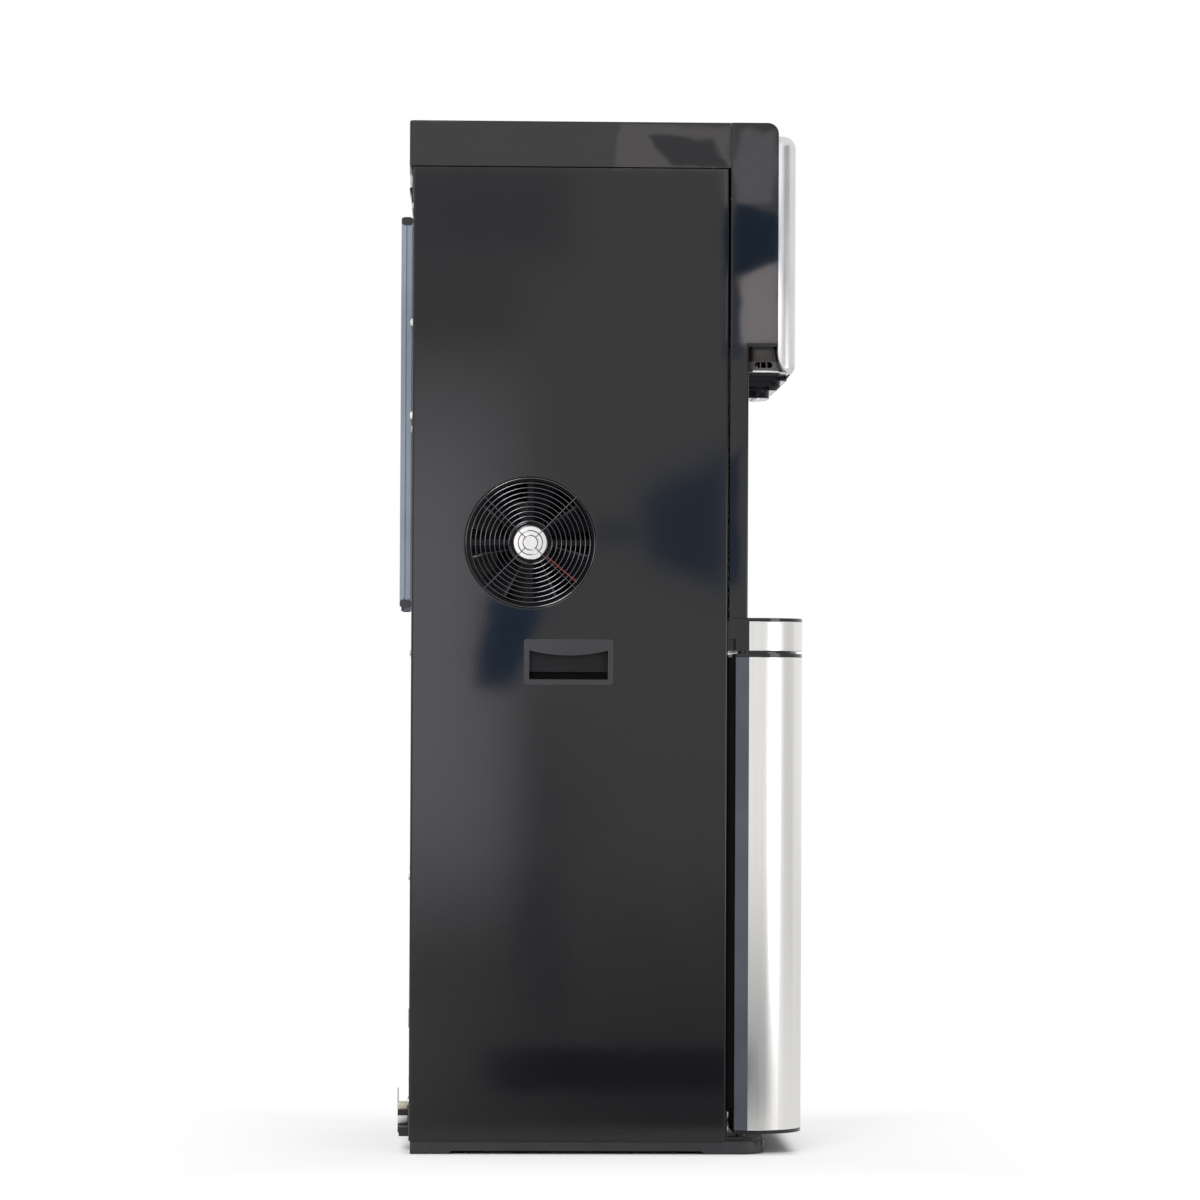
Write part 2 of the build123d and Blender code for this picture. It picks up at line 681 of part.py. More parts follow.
with BuildPart() as indicator_lenses:
    with BuildSketch(plane_facing_front(flange_back_y)):
        with Locations(*lens_places):
            RegularPolygon(LENS_RADIUS, LENS_SIDES)
    extrude(amount=WALL + PANEL_THICKNESS)

# Control board with one key switch behind each button stem
switch_height = BOARD_STANDOFF - BUTTON_LIP - 2 * BUTTON_TRAVEL - FIT

with BuildPart() as control_board:
    with BuildSketch(plane_facing_front(board_y)):
        with Locations((0, panel_level)):
            Rectangle(PANEL_WIDTH + 2 * PANEL_FLANGE, PANEL_HEIGHT + 2 * PANEL_FLANGE)
    extrude(amount=-BOARD_THICKNESS)
    with BuildSketch(plane_facing_front(board_y)):
        with Locations(*button_places):
            Rectangle(2 * BUTTON_STEM_RADIUS, 2 * BUTTON_STEM_RADIUS)
    extrude(amount=switch_height)

# Hood under the head, its rim and the stepped nozzle with three spouts
hood_inset = WALL + HOOD_CORNER * 0.3

with BuildPart() as nozzle_hood:
    with BuildSketch(Plane.XY.offset(HOOD_BOTTOM)):
        with Locations((0, hood_y)):
            RectangleRounded(2 * HOOD_HALF_WIDTH, hood_depth, HOOD_CORNER)
    extrude(amount=HEAD_BOTTOM - HOOD_BOTTOM)
    with BuildSketch(Plane.XY.offset(HOOD_BOTTOM + WALL)):
        with Locations((0, hood_y)):
            Rectangle(2 * (HOOD_HALF_WIDTH - hood_inset), hood_depth - 2 * hood_inset)
    extrude(amount=HEAD_BOTTOM - HOOD_BOTTOM, mode=Mode.SUBTRACT)
    with BuildSketch(Plane.YZ.offset(-HOOD_HALF_WIDTH)):
        with Locations((hood_y, HOOD_BOTTOM + WALL + HOOD_SLOT_HEIGHT / 2)):
            SlotOverall(HOOD_SLOT_LENGTH, HOOD_SLOT_HEIGHT)
    extrude(amount=2 * HOOD_HALF_WIDTH, mode=Mode.SUBTRACT)
    with BuildSketch(Plane.XY.offset(HOOD_BOTTOM)):
        with Locations((0, front_y - NOZZLE_CENTRE)):
            Rectangle(OUTLET_WIDTH - OUTLET_LENGTH / 2, OUTLET_LENGTH / 2)
    extrude(amount=WALL, mode=Mode.SUBTRACT)

nozzle_y = front_y - NOZZLE_CENTRE
trim_bottom = HOOD_BOTTOM - HOOD_TRIM
tier_levels = [trim_bottom]
for half_length, half_span, height in NOZZLE_TIERS:
    tier_levels.append(tier_levels[-1] - height)
outlet_bottom = tier_levels[-1] - OUTLET_DROP
spout_row = 2 * SPOUT_PITCH + 2 * SPOUT_RADIUS

with BuildPart() as hood_trim:
    with BuildSketch(Plane.XY.offset(HOOD_BOTTOM)):
        with Locations((0, hood_y)):
            RectangleRounded(2 * HOOD_HALF_WIDTH + FIT, hood_depth + FIT, HOOD_CORNER)
        with Locations((0, nozzle_y)):
            Rectangle(OUTLET_WIDTH + 2 * FIT, OUTLET_LENGTH + 2 * FIT, mode=Mode.SUBTRACT)
    extrude(amount=-HOOD_TRIM)

with BuildPart() as nozzle_block:
    with BuildSketch(Plane.XY.offset(HOOD_BOTTOM)):
        with Locations((0, nozzle_y)):
            Rectangle(OUTLET_WIDTH, OUTLET_LENGTH)
    extrude(amount=-HOOD_TRIM)
    for level, (half_length, half_span, height) in zip(tier_levels, NOZZLE_TIERS):
        with BuildSketch(Plane.XY.offset(level)):
            with Locations((0, nozzle_y)):
                RectangleRounded(2 * half_span, 2 * half_length, NOZZLE_CORNER)
        extrude(amount=-height)
    chamfer(nozzle_block.faces().sort_by(Axis.Z)[0].edges(), NOZZLE_CHAMFER)
    with BuildSketch(Plane.XY.offset(tier_levels[-1])):
        with Locations((0, nozzle_y)):
            RectangleRounded(OUTLET_WIDTH, OUTLET_LENGTH, OUTLET_LENGTH / 2 - FIT)
    extrude(amount=outlet_bottom - tier_levels[-1])
    with BuildSketch(Plane.XY.offset(outlet_bottom)):
        with Locations((0, nozzle_y)):
            Rectangle(spout_row, 2 * SPOUT_RADIUS)
    extrude(amount=HOOD_BOTTOM - outlet_bottom, mode=Mode.SUBTRACT)

with BuildPart() as water_spouts:
    with BuildSketch(Plane.XY.offset(HEAD_BOTTOM + WALL)):
        with Locations((0, nozzle_y)):
            with GridLocations(SPOUT_PITCH, 0, 3, 1):
                RegularPolygon(SPOUT_RADIUS, SPOUT_SIDES)
                RegularPolygon(SPOUT_RADIUS - SPOUT_WALL, SPOUT_SIDES, mode=Mode.SUBTRACT)
    extrude(amount=outlet_bottom - SPOUT_WALL - HEAD_BOTTOM - WALL)

# Alcove liner between the legs, standing on the drip shelf
liner_front_y = frame_back_y - LEG_DEPTH / 3

with BuildPart() as alcove_liner:
    with BuildSketch(Plane.XY.offset(SHELF_TOP)) as liner_plan:
        with Locations((0, liner_front_y)):
            Rectangle(2 * alcove_half, alcove_back_y - liner_front_y, align=(Align.CENTER, Align.MIN))
        fillet(liner_plan.vertices().group_by(Axis.Y)[-1], ALCOVE_CORNER)
    extrude(amount=HEAD_BOTTOM - SHELF_TOP)
    with BuildSketch(Plane.XY.offset(SHELF_TOP)) as liner_room:
        with Locations((0, liner_front_y)):
            Rectangle(
                2 * (alcove_half - WALL),
                alcove_back_y - liner_front_y - WALL,
                align=(Align.CENTER, Align.MIN),
            )
        fillet(liner_room.vertices().group_by(Axis.Y)[-1], ALCOVE_CORNER - WALL)
    extrude(amount=HEAD_BOTTOM - SHELF_TOP - WALL, mode=Mode.SUBTRACT)

# Drip shelf: moulded tub across the front that holds the tray and the upper hinge pin
tray_length = TRAY_FRONT + TRAY_BACK
tray_y = front_y - (TRAY_FRONT - TRAY_BACK) / 2
tray_bottom = SHELF_TOP - TRAY_DEPTH
lug_x = half_width - SHEET_FOLD / 2
lug_width = SHEET_FOLD - 2 * FOLD_RADIUS

with BuildPart() as drip_shelf:
    with BuildSketch(Plane.XY.offset(shelf_bottom)):
        add(
            bow_outline(
                door_half - DOOR_SKIN,
                door_back_y,
                door_front_y + DOOR_SKIN,
                DOOR_CORNER - DOOR_SKIN,
                DOOR_CROWN,
            )
        )
        with Locations((0, door_back_y)):
            Rectangle(door_width, DOOR_FRAME_DEPTH, align=(Align.CENTER, Align.MAX))
    extrude(amount=shelf_plate_bottom - shelf_bottom)
    with BuildSketch(Plane.XY.offset(shelf_plate_bottom)):
        add(bow_outline(door_half, frame_back_y, door_front_y, DOOR_CORNER, DOOR_CROWN))
    extrude(amount=SHELF_PLATE)
    with Locations((0, alcove_back_y, shelf_bottom)):
        Box(
            2 * alcove_half,
            alcove_back_y - door_back_y,
            SHELF_TOP - shelf_bottom,
            align=MIDDLE_HIGH_LOW,
        )
    for side in (-1, 1):
        with Locations((side * lug_x, front_y, shelf_plate_bottom)):
            Box(lug_width, DOOR_GAP, SHELF_LUG_HEIGHT, align=(Align.CENTER, Align.MAX, Align.MAX))
    with BuildSketch(Plane.XY.offset(tray_bottom)):
        with Locations((0, tray_y)):
            RectangleRounded(TRAY_WIDTH + 2 * FIT, tray_length + 2 * FIT, TRAY_CORNER + FIT)
    extrude(amount=TRAY_DEPTH, mode=Mode.SUBTRACT)
    with Locations((hinge_x, hinge_y, shelf_bottom)):
        Cylinder(
            HINGE_PIN_RADIUS,
            HINGE_PIN_ENGAGEMENT,
            align=MIDDLE_MIDDLE_LOW,
            mode=Mode.SUBTRACT,
        )


def front_skin(bottom, top):
    """Sheet wrapped round a bowed front, open to the back."""
    with BuildPart() as skin:
        with BuildSketch(Plane.XY.offset(bottom)):
            add(bow_outline(door_half, door_face_y, door_front_y, DOOR_CORNER, DOOR_CROWN))
            add(
                bow_outline(
                    door_half - DOOR_SKIN,
                    door_face_y,
                    door_front_y + DOOR_SKIN,
                    DOOR_CORNER - DOOR_SKIN,
                    DOOR_CROWN,
                ),
                mode=Mode.SUBTRACT,
            )
        extrude(amount=top - bottom)
    return skin


shelf_band = front_skin(shelf_bottom, shelf_plate_bottom)
door_skin = front_skin(DOOR_BOTTOM + DOOR_CAP, DOOR_TOP - DOOR_CAP)

with BuildPart() as drip_tray:
    with BuildSketch(Plane.XY.offset(tray_bottom)):
        with Locations((0, tray_y)):
            RectangleRounded(TRAY_WIDTH, tray_length, TRAY_CORNER)
    extrude(amount=TRAY_DEPTH)
    with BuildSketch(Plane.XY.offset(tray_bottom + TRAY_WALL)):
        with Locations((0, tray_y)):
            RectangleRounded(
                TRAY_WIDTH - 4 * TRAY_WALL, tray_length - 4 * TRAY_WALL, TRAY_CORNER - 2 * TRAY_WALL
            )
    extrude(amount=TRAY_DEPTH, mode=Mode.SUBTRACT)
    with BuildSketch(Plane.XY.offset(SHELF_TOP - GRILLE_THICKNESS)):
        with Locations((0, tray_y)):
            RectangleRounded(
                TRAY_WIDTH - 2 * TRAY_WALL, tray_length - 2 * TRAY_WALL, TRAY_CORNER - TRAY_WALL
            )
    extrude(amount=GRILLE_THICKNESS, mode=Mode.SUBTRACT)

# Drip grille: plate in the tray's rebate with two rows of slots
grille_width = TRAY_WIDTH - 2 * TRAY_WALL - 2 * FIT
grille_length = tray_length - 2 * TRAY_WALL - 2 * FIT
slot_count = int((grille_width - 2 * GRILLE_BORDER) // GRILLE_SLOT_PITCH)
slot_length = (grille_length - 3 * GRILLE_BORDER) / 2

with BuildPart() as drip_grille:
    with BuildSketch(Plane.XY.offset(SHELF_TOP - GRILLE_THICKNESS)):
        with Locations((0, tray_y)):
            RectangleRounded(grille_width, grille_length, TRAY_CORNER - TRAY_WALL - FIT)
            with GridLocations(GRILLE_SLOT_PITCH, slot_length + GRILLE_BORDER, slot_count, 2):
                Rectangle(GRILLE_SLOT_WIDTH, slot_length, mode=Mode.SUBTRACT)
    extrude(amount=GRILLE_THICKNESS)

# Door: inner frame, steel skin, two caps and the strike of its catch
door_frame_bottom = DOOR_BOTTOM + DOOR_CAP
door_frame_top = DOOR_TOP - DOOR_CAP
pin_bore = HINGE_PIN_RADIUS + HINGE_PIN_FIT

with BuildPart() as door_frame:
    with Locations((0, door_back_y, door_frame_bottom)):
        Box(
            door_width,
            DOOR_FRAME_DEPTH,
            door_frame_top - door_frame_bottom,
            align=MIDDLE_HIGH_LOW,
        )
    with Locations((0, door_face_y, door_frame_bottom + DOOR_RAIL)):
        Box(
            door_width - 2 * DOOR_RAIL,
            DOOR_FRAME_DEPTH - WALL,
            door_frame_top - door_frame_bottom - 2 * DOOR_RAIL,
            align=MIDDLE_LOW_LOW,
            mode=Mode.SUBTRACT,
        )
    for level, align in ((door_frame_bottom, MIDDLE_MIDDLE_LOW), (door_frame_top, MIDDLE_MIDDLE_HIGH)):
        with Locations((hinge_x, hinge_y, level)):
            Cylinder(pin_bore, HINGE_PIN_ENGAGEMENT, align=align, mode=Mode.SUBTRACT)


with BuildPart() as door_caps:
    for level in (DOOR_BOTTOM, door_frame_top):
        with BuildSketch(Plane.XY.offset(level)):
            add(bow_outline(door_half, door_back_y, door_front_y, DOOR_CORNER, DOOR_CROWN))
            with Locations((hinge_x, hinge_y)):
                Circle(pin_bore, mode=Mode.SUBTRACT)
        extrude(amount=DOOR_CAP)
    with BuildSketch(Plane.XY.offset(DOOR_TOP)):
        for inset, mode in ((DOOR_LIP_INSET, Mode.ADD), (DOOR_LIP_INSET + WALL, Mode.SUBTRACT)):
            add(
                bow_outline(
                    door_half - HINGE_SETBACK - inset,
                    door_back_y - inset,
                    door_front_y + inset,
                    DOOR_CORNER - inset,
                    DOOR_CROWN,
                ),
                mode=mode,
            )
    extrude(amount=DOOR_LIP)

catch_x = door_half - CATCH_WIDTH / 2 - SHEET
catch_level = (DOOR_BOTTOM + DOOR_TOP) / 2

with BuildPart() as door_strike:
    with Locations((catch_x, door_back_y, catch_level)):
        Box(CATCH_WIDTH, STRIKE, CATCH_HEIGHT, align=(Align.CENTER, Align.MIN, Align.CENTER))

with BuildPart() as catch_magnet:
    with Locations((catch_x, front_y, catch_level)):
        Box(
            CATCH_WIDTH,
            DOOR_GAP - STRIKE - FIT,
            CATCH_HEIGHT,
            align=(Align.CENTER, Align.MAX, Align.CENTER),
        )
    chamfer(catch_magnet.edges().filter_by(Axis.Z).group_by(Axis.Y)[0], SHEET)

# Door seals: foam strips inside the hinge line that meet the front folds, broken at the catch
seal_x = -hinge_x - SEAL_WIDTH / 2
seal_breaks = (catch_level - CATCH_HEIGHT / 2 - FIT, catch_level + CATCH_HEIGHT / 2 + FIT)
seal_runs = (
    (-seal_x, HINGE_SEAT + HINGE_LEAF_HEIGHT + FIT, door_frame_top),
    (seal_x, door_frame_bottom, seal_breaks[0]),
    (seal_x, seal_breaks[1], door_frame_top),
)

with BuildPart() as door_seals:
    for x, low, high in seal_runs:
        with Locations((x, door_back_y, low)):
            Box(SEAL_WIDTH, DOOR_GAP - FIT, high - low, align=MIDDLE_LOW_LOW)

# Hinge: folded bracket on the left front fold, and the two pins the door turns on
leaf_x = -(half_width - SHEET_FOLD / 2)
leaf_front_y = front_y - SILL_START + FIT
washer_radius = HINGE_PIN_RADIUS + HINGE_PLATE

with BuildPart() as hinge_bracket:
    with Locations((leaf_x, front_y, HINGE_SEAT)):
        Box(HINGE_LEAF_WIDTH, HINGE_PLATE, HINGE_LEAF_HEIGHT, align=MIDDLE_HIGH_LOW)
    with Locations((hinge_x, front_y, HINGE_SEAT)):
        Box(2 * HINGE_SETBACK, front_y - leaf_front_y, HINGE_PLATE, align=MIDDLE_HIGH_LOW)
    with Locations((hinge_x, hinge_y, HINGE_SEAT)):
        Cylinder(HINGE_PIN_RADIUS, 4 * HINGE_PLATE, mode=Mode.SUBTRACT)

with BuildPart() as hinge_pins:
    with Locations((hinge_x, hinge_y, HINGE_SEAT)):
        Cylinder(
            HINGE_PIN_RADIUS,
            DOOR_BOTTOM + HINGE_PIN_ENGAGEMENT - HINGE_SEAT,
            align=MIDDLE_MIDDLE_LOW,
        )
    with Locations((hinge_x, hinge_y, HINGE_SEAT + HINGE_PLATE)):
        Cylinder(
            washer_radius,
            DOOR_BOTTOM - FIT - HINGE_SEAT - HINGE_PLATE,
            align=MIDDLE_MIDDLE_LOW,
        )
    with Locations((hinge_x, hinge_y, shelf_bottom + HINGE_PIN_ENGAGEMENT)):
        Cylinder(
            HINGE_PIN_RADIUS,
            2 * HINGE_PIN_ENGAGEMENT,
            align=MIDDLE_MIDDLE_HIGH,
        )


def make_handle_cup(side):
    """Carrying grip: a frame on the panel, a lip with a sagging edge and a sloping floor."""
    face_x = side * (half_width + HANDLE_PROUD)
    inner_x = side * (half_width - HANDLE_DEPTH + WALL)
    lip_x = face_x - side * HANDLE_LIP_THICKNESS
    frame_low = HANDLE_LEVEL - HANDLE_HEIGHT / 2
    open_low = frame_low + HANDLE_FRAME
    open_high = frame_low + HANDLE_HEIGHT - HANDLE_FRAME
    lip_low = frame_low + HANDLE_HEIGHT - HANDLE_LIP_DROP
    half_open = HANDLE_WIDTH / 2 - HANDLE_FRAME
    with BuildPart() as cup:
        with BuildSketch(Plane.YZ.offset(side * half_width)):
            with Locations((handle_y, HANDLE_LEVEL)):
                RectangleRounded(HANDLE_WIDTH, HANDLE_HEIGHT, HANDLE_CORNER)
        extrude(amount=side * HANDLE_PROUD)
        with BuildSketch(Plane.YZ.offset(side * half_width)):
            with Locations((handle_y, HANDLE_LEVEL)):
                Rectangle(2 * half_open + 2 * WALL, open_high - open_low + 2 * WALL)
        extrude(amount=-side * HANDLE_DEPTH)
        with BuildSketch(plane_facing_front(handle_y + half_open)):
            with BuildLine():
                Polyline(
                    (face_x, open_low),
                    (inner_x, open_low + HANDLE_FLOOR_RISE),
                    (inner_x, open_high),
                    (lip_x, open_high),
                    (lip_x, lip_low),
                    (face_x, lip_low),
                    close=True,
                )
            make_face()
        extrude(amount=2 * half_open, mode=Mode.SUBTRACT)
        with BuildSketch(Plane.YZ.offset(face_x)):
            with BuildLine():
                ThreePointArc(
                    (handle_y - half_open, lip_low + HANDLE_LIP_SAG),
                    (handle_y, lip_low),
                    (handle_y + half_open, lip_low + HANDLE_LIP_SAG),
                )
                Polyline(
                    (handle_y + half_open, lip_low + HANDLE_LIP_SAG),
                    (handle_y + half_open, lip_low - HANDLE_LIP_SAG),
                    (handle_y - half_open, lip_low - HANDLE_LIP_SAG),
                    (handle_y - half_open, lip_low + HANDLE_LIP_SAG),
                )
            make_face()
        extrude(amount=-side * HANDLE_LIP_THICKNESS, mode=Mode.SUBTRACT)
    return cup


handle_cup_left = make_handle_cup(-1)
handle_cup_right = make_handle_cup(1)

# Fan: wire guard in the panel opening, square frame with motor plate, and the bladed rotor
fan_back_x = fan_front_x + FAN_DEPTH
eye_distance = FAN_HOLE_PITCH / 2**0.5
spoke_start = GUARD_INNER_RADIUS - GUARD_WIRE / 2

with BuildPart() as fan_guard:
    with BuildSketch(Plane.YZ.offset(-panel_inner_x)):
        with Locations((fan_y, FAN_LEVEL)):
            for ring in reversed(range(GUARD_RINGS)):
                ring_radius = GUARD_INNER_RADIUS + ring * GUARD_PITCH
                ring_sides = GUARD_RING_SIDES + 2 * ring
                RegularPolygon(ring_radius + GUARD_WIRE / 2, ring_sides)
                RegularPolygon(ring_radius - GUARD_WIRE / 2, ring_sides, mode=Mode.SUBTRACT)
    extrude(amount=-GUARD_WIRE)
    with BuildSketch(Plane.YZ.offset(-panel_inner_x)):
        with Locations((fan_y, FAN_LEVEL)):
            with PolarLocations((spoke_start + eye_distance) / 2, 4, start_angle=45):
                Rectangle(eye_distance - spoke_start, GUARD_WIRE)
            with PolarLocations(eye_distance, 4, start_angle=45):
                RegularPolygon(GUARD_EYE_RADIUS, 8)
    extrude(amount=GUARD_WIRE)

with BuildPart() as fan_frame:
    for flange_x in (fan_front_x, fan_back_x - FAN_FLANGE):
        with BuildSketch(Plane.YZ.offset(flange_x)):
            with Locations((fan_y, FAN_LEVEL)):
                Rectangle(FAN_SIZE, FAN_SIZE)
        extrude(amount=FAN_FLANGE)
    with BuildSketch(Plane.YZ.offset(fan_front_x)):
        with Locations((fan_y, FAN_LEVEL)):
            Circle(FAN_BORE_RADIUS + FAN_BARREL_WALL)
    extrude(amount=FAN_DEPTH)
    with BuildSketch(Plane.YZ.offset(fan_front_x)):
        with Locations((fan_y, FAN_LEVEL)):
            Circle(FAN_BORE_RADIUS)
    extrude(amount=FAN_DEPTH, mode=Mode.SUBTRACT)
    with BuildSketch(Plane.YZ.offset(fan_front_x)):
        with Locations((fan_y, FAN_LEVEL)):
            with PolarLocations(FAN_BORE_RADIUS / 2, 4):
                Rectangle(FAN_BORE_RADIUS + FAN_BARREL_WALL, STRUT_WIDTH)
            Circle(MOTOR_PLATE_RADIUS)
            Circle(ROTOR_SHAFT_RADIUS + ROTOR_SHAFT_FIT, mode=Mode.SUBTRACT)
    extrude(amount=MOTOR_PLATE)

hub_front_x = fan_front_x + MOTOR_PLATE + ROTOR_END_GAP
hub_back_x = fan_back_x - ROTOR_END_GAP
blade_x = (hub_front_x + hub_back_x) / 2
fan_centre = Vector(0, fan_y, FAN_LEVEL)


def blade_section(turn, radius, pitch):
    """Plane square to a blade at a radius from the fan axis, its local x along the chord."""
    outward = Vector(0, cos(radians(turn)), sin(radians(turn)))
    around = Vector(0, -sin(radians(turn)), cos(radians(turn)))
    chord = around * cos(radians(pitch)) + Vector(1, 0, 0) * sin(radians(pitch))
    return Plane(fan_centre + Vector(blade_x, 0, 0) + outward * radius, chord, outward)


tip_reach = FAN_BORE_RADIUS - ROTOR_TIP_GAP
tip_half_span = BLADE_TIP_CHORD / 2 * cos(radians(BLADE_TIP_PITCH)) + BLADE_THICKNESS
tip_section_radius = (tip_reach**2 - tip_half_span**2) ** 0.5

with BuildPart() as fan_rotor:
    with BuildSketch(Plane.YZ.offset(hub_front_x)):
        with Locations((fan_y, FAN_LEVEL)):
            Circle(ROTOR_HUB_RADIUS)
    extrude(amount=hub_back_x - hub_front_x)
    with BuildSketch(Plane.YZ.offset(hub_front_x)):
        with Locations((fan_y, FAN_LEVEL)):
            Circle(ROTOR_SHAFT_RADIUS)
    extrude(amount=-ROTOR_END_GAP - MOTOR_PLATE)
    for blade in range(BLADE_COUNT):
        blade_turn = 360 / BLADE_COUNT * blade
        with BuildSketch(blade_section(blade_turn, ROTOR_HUB_RADIUS * 0.9, BLADE_ROOT_PITCH)):
            Rectangle(BLADE_ROOT_CHORD, BLADE_THICKNESS)
        with BuildSketch(blade_section(blade_turn, tip_section_radius, BLADE_TIP_PITCH)):
            Rectangle(BLADE_TIP_CHORD, BLADE_THICKNESS)
        loft()

# Lead from the motor plate across the bore to the frame
lead_direction = Vector(0, -cos(radians(40)), -sin(radians(40)))
lead_start = fan_centre + Vector(fan_front_x + MOTOR_PLATE / 2, 0, 0) + lead_direction * MOTOR_PLATE_RADIUS
lead_length = FAN_BORE_RADIUS - MOTOR_PLATE_RADIUS - FIT

with BuildPart() as fan_lead:
    with BuildSketch(Plane(lead_start, z_dir=lead_direction)):
        Circle(LEAD_RADIUS)
    extrude(amount=lead_length)

# Condenser: serpentine tube with wires across both faces, held by two folded rails on the back panel
run_levels = [
    CONDENSER_MIDDLE + (run - (CONDENSER_RUNS - 1) / 2) * CONDENSER_PITCH for run in range(CONDENSER_RUNS)
]
route_points = []
for run, level in enumerate(run_levels):
    ends = (-CONDENSER_HALF_WIDTH, CONDENSER_HALF_WIDTH)
    for x in ends if run % 2 else reversed(ends):
        route_points.append((x, level))
bend_radius = 0.48 * CONDENSER_PITCH
wire_offset = CONDENSER_TUBE_RADIUS + wire_apothem
wire_field = 2 * (CONDENSER_HALF_WIDTH - bend_radius - CONDENSER_TUBE_RADIUS)

with BuildPart() as condenser_tube:
    with BuildLine(plane_facing_front(condenser_y)) as route:
        FilletPolyline(*route_points, radius=bend_radius)
    with BuildSketch(Plane(route.line @ 0, z_dir=route.line % 0)):
        RegularPolygon(CONDENSER_TUBE_RADIUS, CONDENSER_TUBE_SIDES, major_radius=False)
    sweep(path=route.line)

with BuildPart() as condenser_wires:
    with BuildSketch(Plane.XY.offset(CONDENSER_MIDDLE - CONDENSER_WIRE_LENGTH / 2)):
        with Locations((0, condenser_y)):
            with GridLocations(wire_field / (CONDENSER_WIRES - 1), 2 * wire_offset, CONDENSER_WIRES, 2):
                RegularPolygon(CONDENSER_WIRE_RADIUS, CONDENSER_WIRE_SIDES)
    extrude(amount=CONDENSER_WIRE_LENGTH)

rail_x = CONDENSER_HALF_WIDTH + CONDENSER_TUBE_RADIUS * 2 / 3**0.5 + FIT
rail_face_y = condenser_y + CONDENSER_TUBE_RADIUS + FIT
rail_bottom = run_levels[0] - RAIL_END
rail_height = run_levels[-1] - run_levels[0] + 2 * RAIL_END

with BuildPart() as condenser_rails:
    with BuildSketch(Plane.XY.offset(rail_bottom)) as rail_section:
        with BuildLine():
            Polyline(
                (rail_x + RAIL_LIP, back_outer_y),
                (rail_x + RAIL_LIP, back_outer_y + RAIL_SHEET),
                (rail_x + RAIL_SHEET, back_outer_y + RAIL_SHEET),
                (rail_x + RAIL_SHEET, rail_face_y + RAIL_SHEET),
                (rail_x - RAIL_LIP, rail_face_y + RAIL_SHEET),
                (rail_x - RAIL_LIP, rail_face_y),
                (rail_x, rail_face_y),
                (rail_x, back_outer_y),
                close=True,
            )
        make_face()
        mirror(about=Plane.YZ)
    extrude(amount=rail_height)

# Decks: the bay ceiling that carries the compressor, and the shelf that carries the tanks
deck_half = panel_inner_x - FIT
deck_front_y = alcove_back_y + FIT
deck_back_y = back_inner_y - FIT


def make_deck(level):
    """Sheet shelf with upturned side flanges, notched where the grips reach through it."""
    with BuildPart() as deck:
        with Locations((0, deck_front_y, level)):
            Box(2 * deck_half, deck_back_y - deck_front_y, DECK_SHEET, align=MIDDLE_LOW_LOW)
        for side in (-1, 1):
            with Locations((side * (deck_half - DECK_SHEET / 2), deck_front_y, level)):
                Box(DECK_SHEET, deck_back_y - deck_front_y, DECK_FLANGE, align=MIDDLE_LOW_LOW)
            with Locations((side * half_width, handle_y, HANDLE_LEVEL)):
                Box(
                    2 * (HANDLE_DEPTH + FIT),
                    HANDLE_WIDTH,
                    HANDLE_HEIGHT,
                    mode=Mode.SUBTRACT,
                )
    return deck


bay_deck = make_deck(shelf_bottom)
tank_shelf = make_deck(TANK_SHELF_LEVEL)


def upright_section(x, y):
    """Section plane through a vertical axis: local x is the radius and local y the height."""
    return Plane(origin=(x, y, 0), x_dir=(1, 0, 0), z_dir=(0, -1, 0))


# Compressor on rubber grommets
can_bottom = deck_top + GROMMET_HEIGHT + WALL
weld_level = can_bottom + COMPRESSOR_HEIGHT * 0.45

with BuildPart() as compressor:
    with BuildSketch(Plane.XY.offset(can_bottom)):
        with Locations((COMPRESSOR_X, fan_y)):
            RegularPolygon(COMPRESSOR_RADIUS, CAN_SIDES)
    extrude(amount=COMPRESSOR_HEIGHT)
    chamfer(compressor.edges().group_by(Axis.Z)[-1], COMPRESSOR_DOME)
    with BuildSketch(Plane.XY.offset(weld_level)):
        with Locations((COMPRESSOR_X, fan_y)):
            RegularPolygon(COMPRESSOR_RADIUS + WALL, CAN_SIDES)
    extrude(amount=2 * WALL)
    with Locations((COMPRESSOR_X, fan_y, can_bottom - WALL)):
        Box(
            COMPRESSOR_FOOT_WIDTH + 2 * GROMMET_RADIUS,
            COMPRESSOR_FOOT_WIDTH + 2 * GROMMET_RADIUS,
            WALL,
            align=MIDDLE_MIDDLE_LOW,
        )

with BuildPart() as compressor_grommets:
    with BuildSketch(Plane.XY.offset(deck_top)):
        with Locations((COMPRESSOR_X, fan_y)):
            with GridLocations(COMPRESSOR_FOOT_WIDTH, COMPRESSOR_FOOT_WIDTH, 2, 2):
                RegularPolygon(GROMMET_RADIUS, GROMMET_SIDES)
    extrude(amount=GROMMET_HEIGHT)

# Cold tank in its foam jacket, and the hot tank beside it
cold_y = back_inner_y - TANK_BACK_GAP - jacket_radius
jacket_top = tank_shelf_top + jacket_height
hot_y = back_inner_y - TANK_BACK_GAP - hot_tank_radius
neck_places = [
    (cold_tank_x, cold_y, jacket_top + TANK_LID),
    (hot_tank_x, hot_y, tank_shelf_top + hot_tank_height),
]


def tank_neck(place):
    """Hose neck on the top of a tank."""
    with BuildPart() as neck:
        with BuildSketch(Plane(place)):
            RegularPolygon(TANK_NECK_RADIUS, CAN_SIDES // 2)
        extrude(amount=TANK_NECK_HEIGHT)
    return neck.part


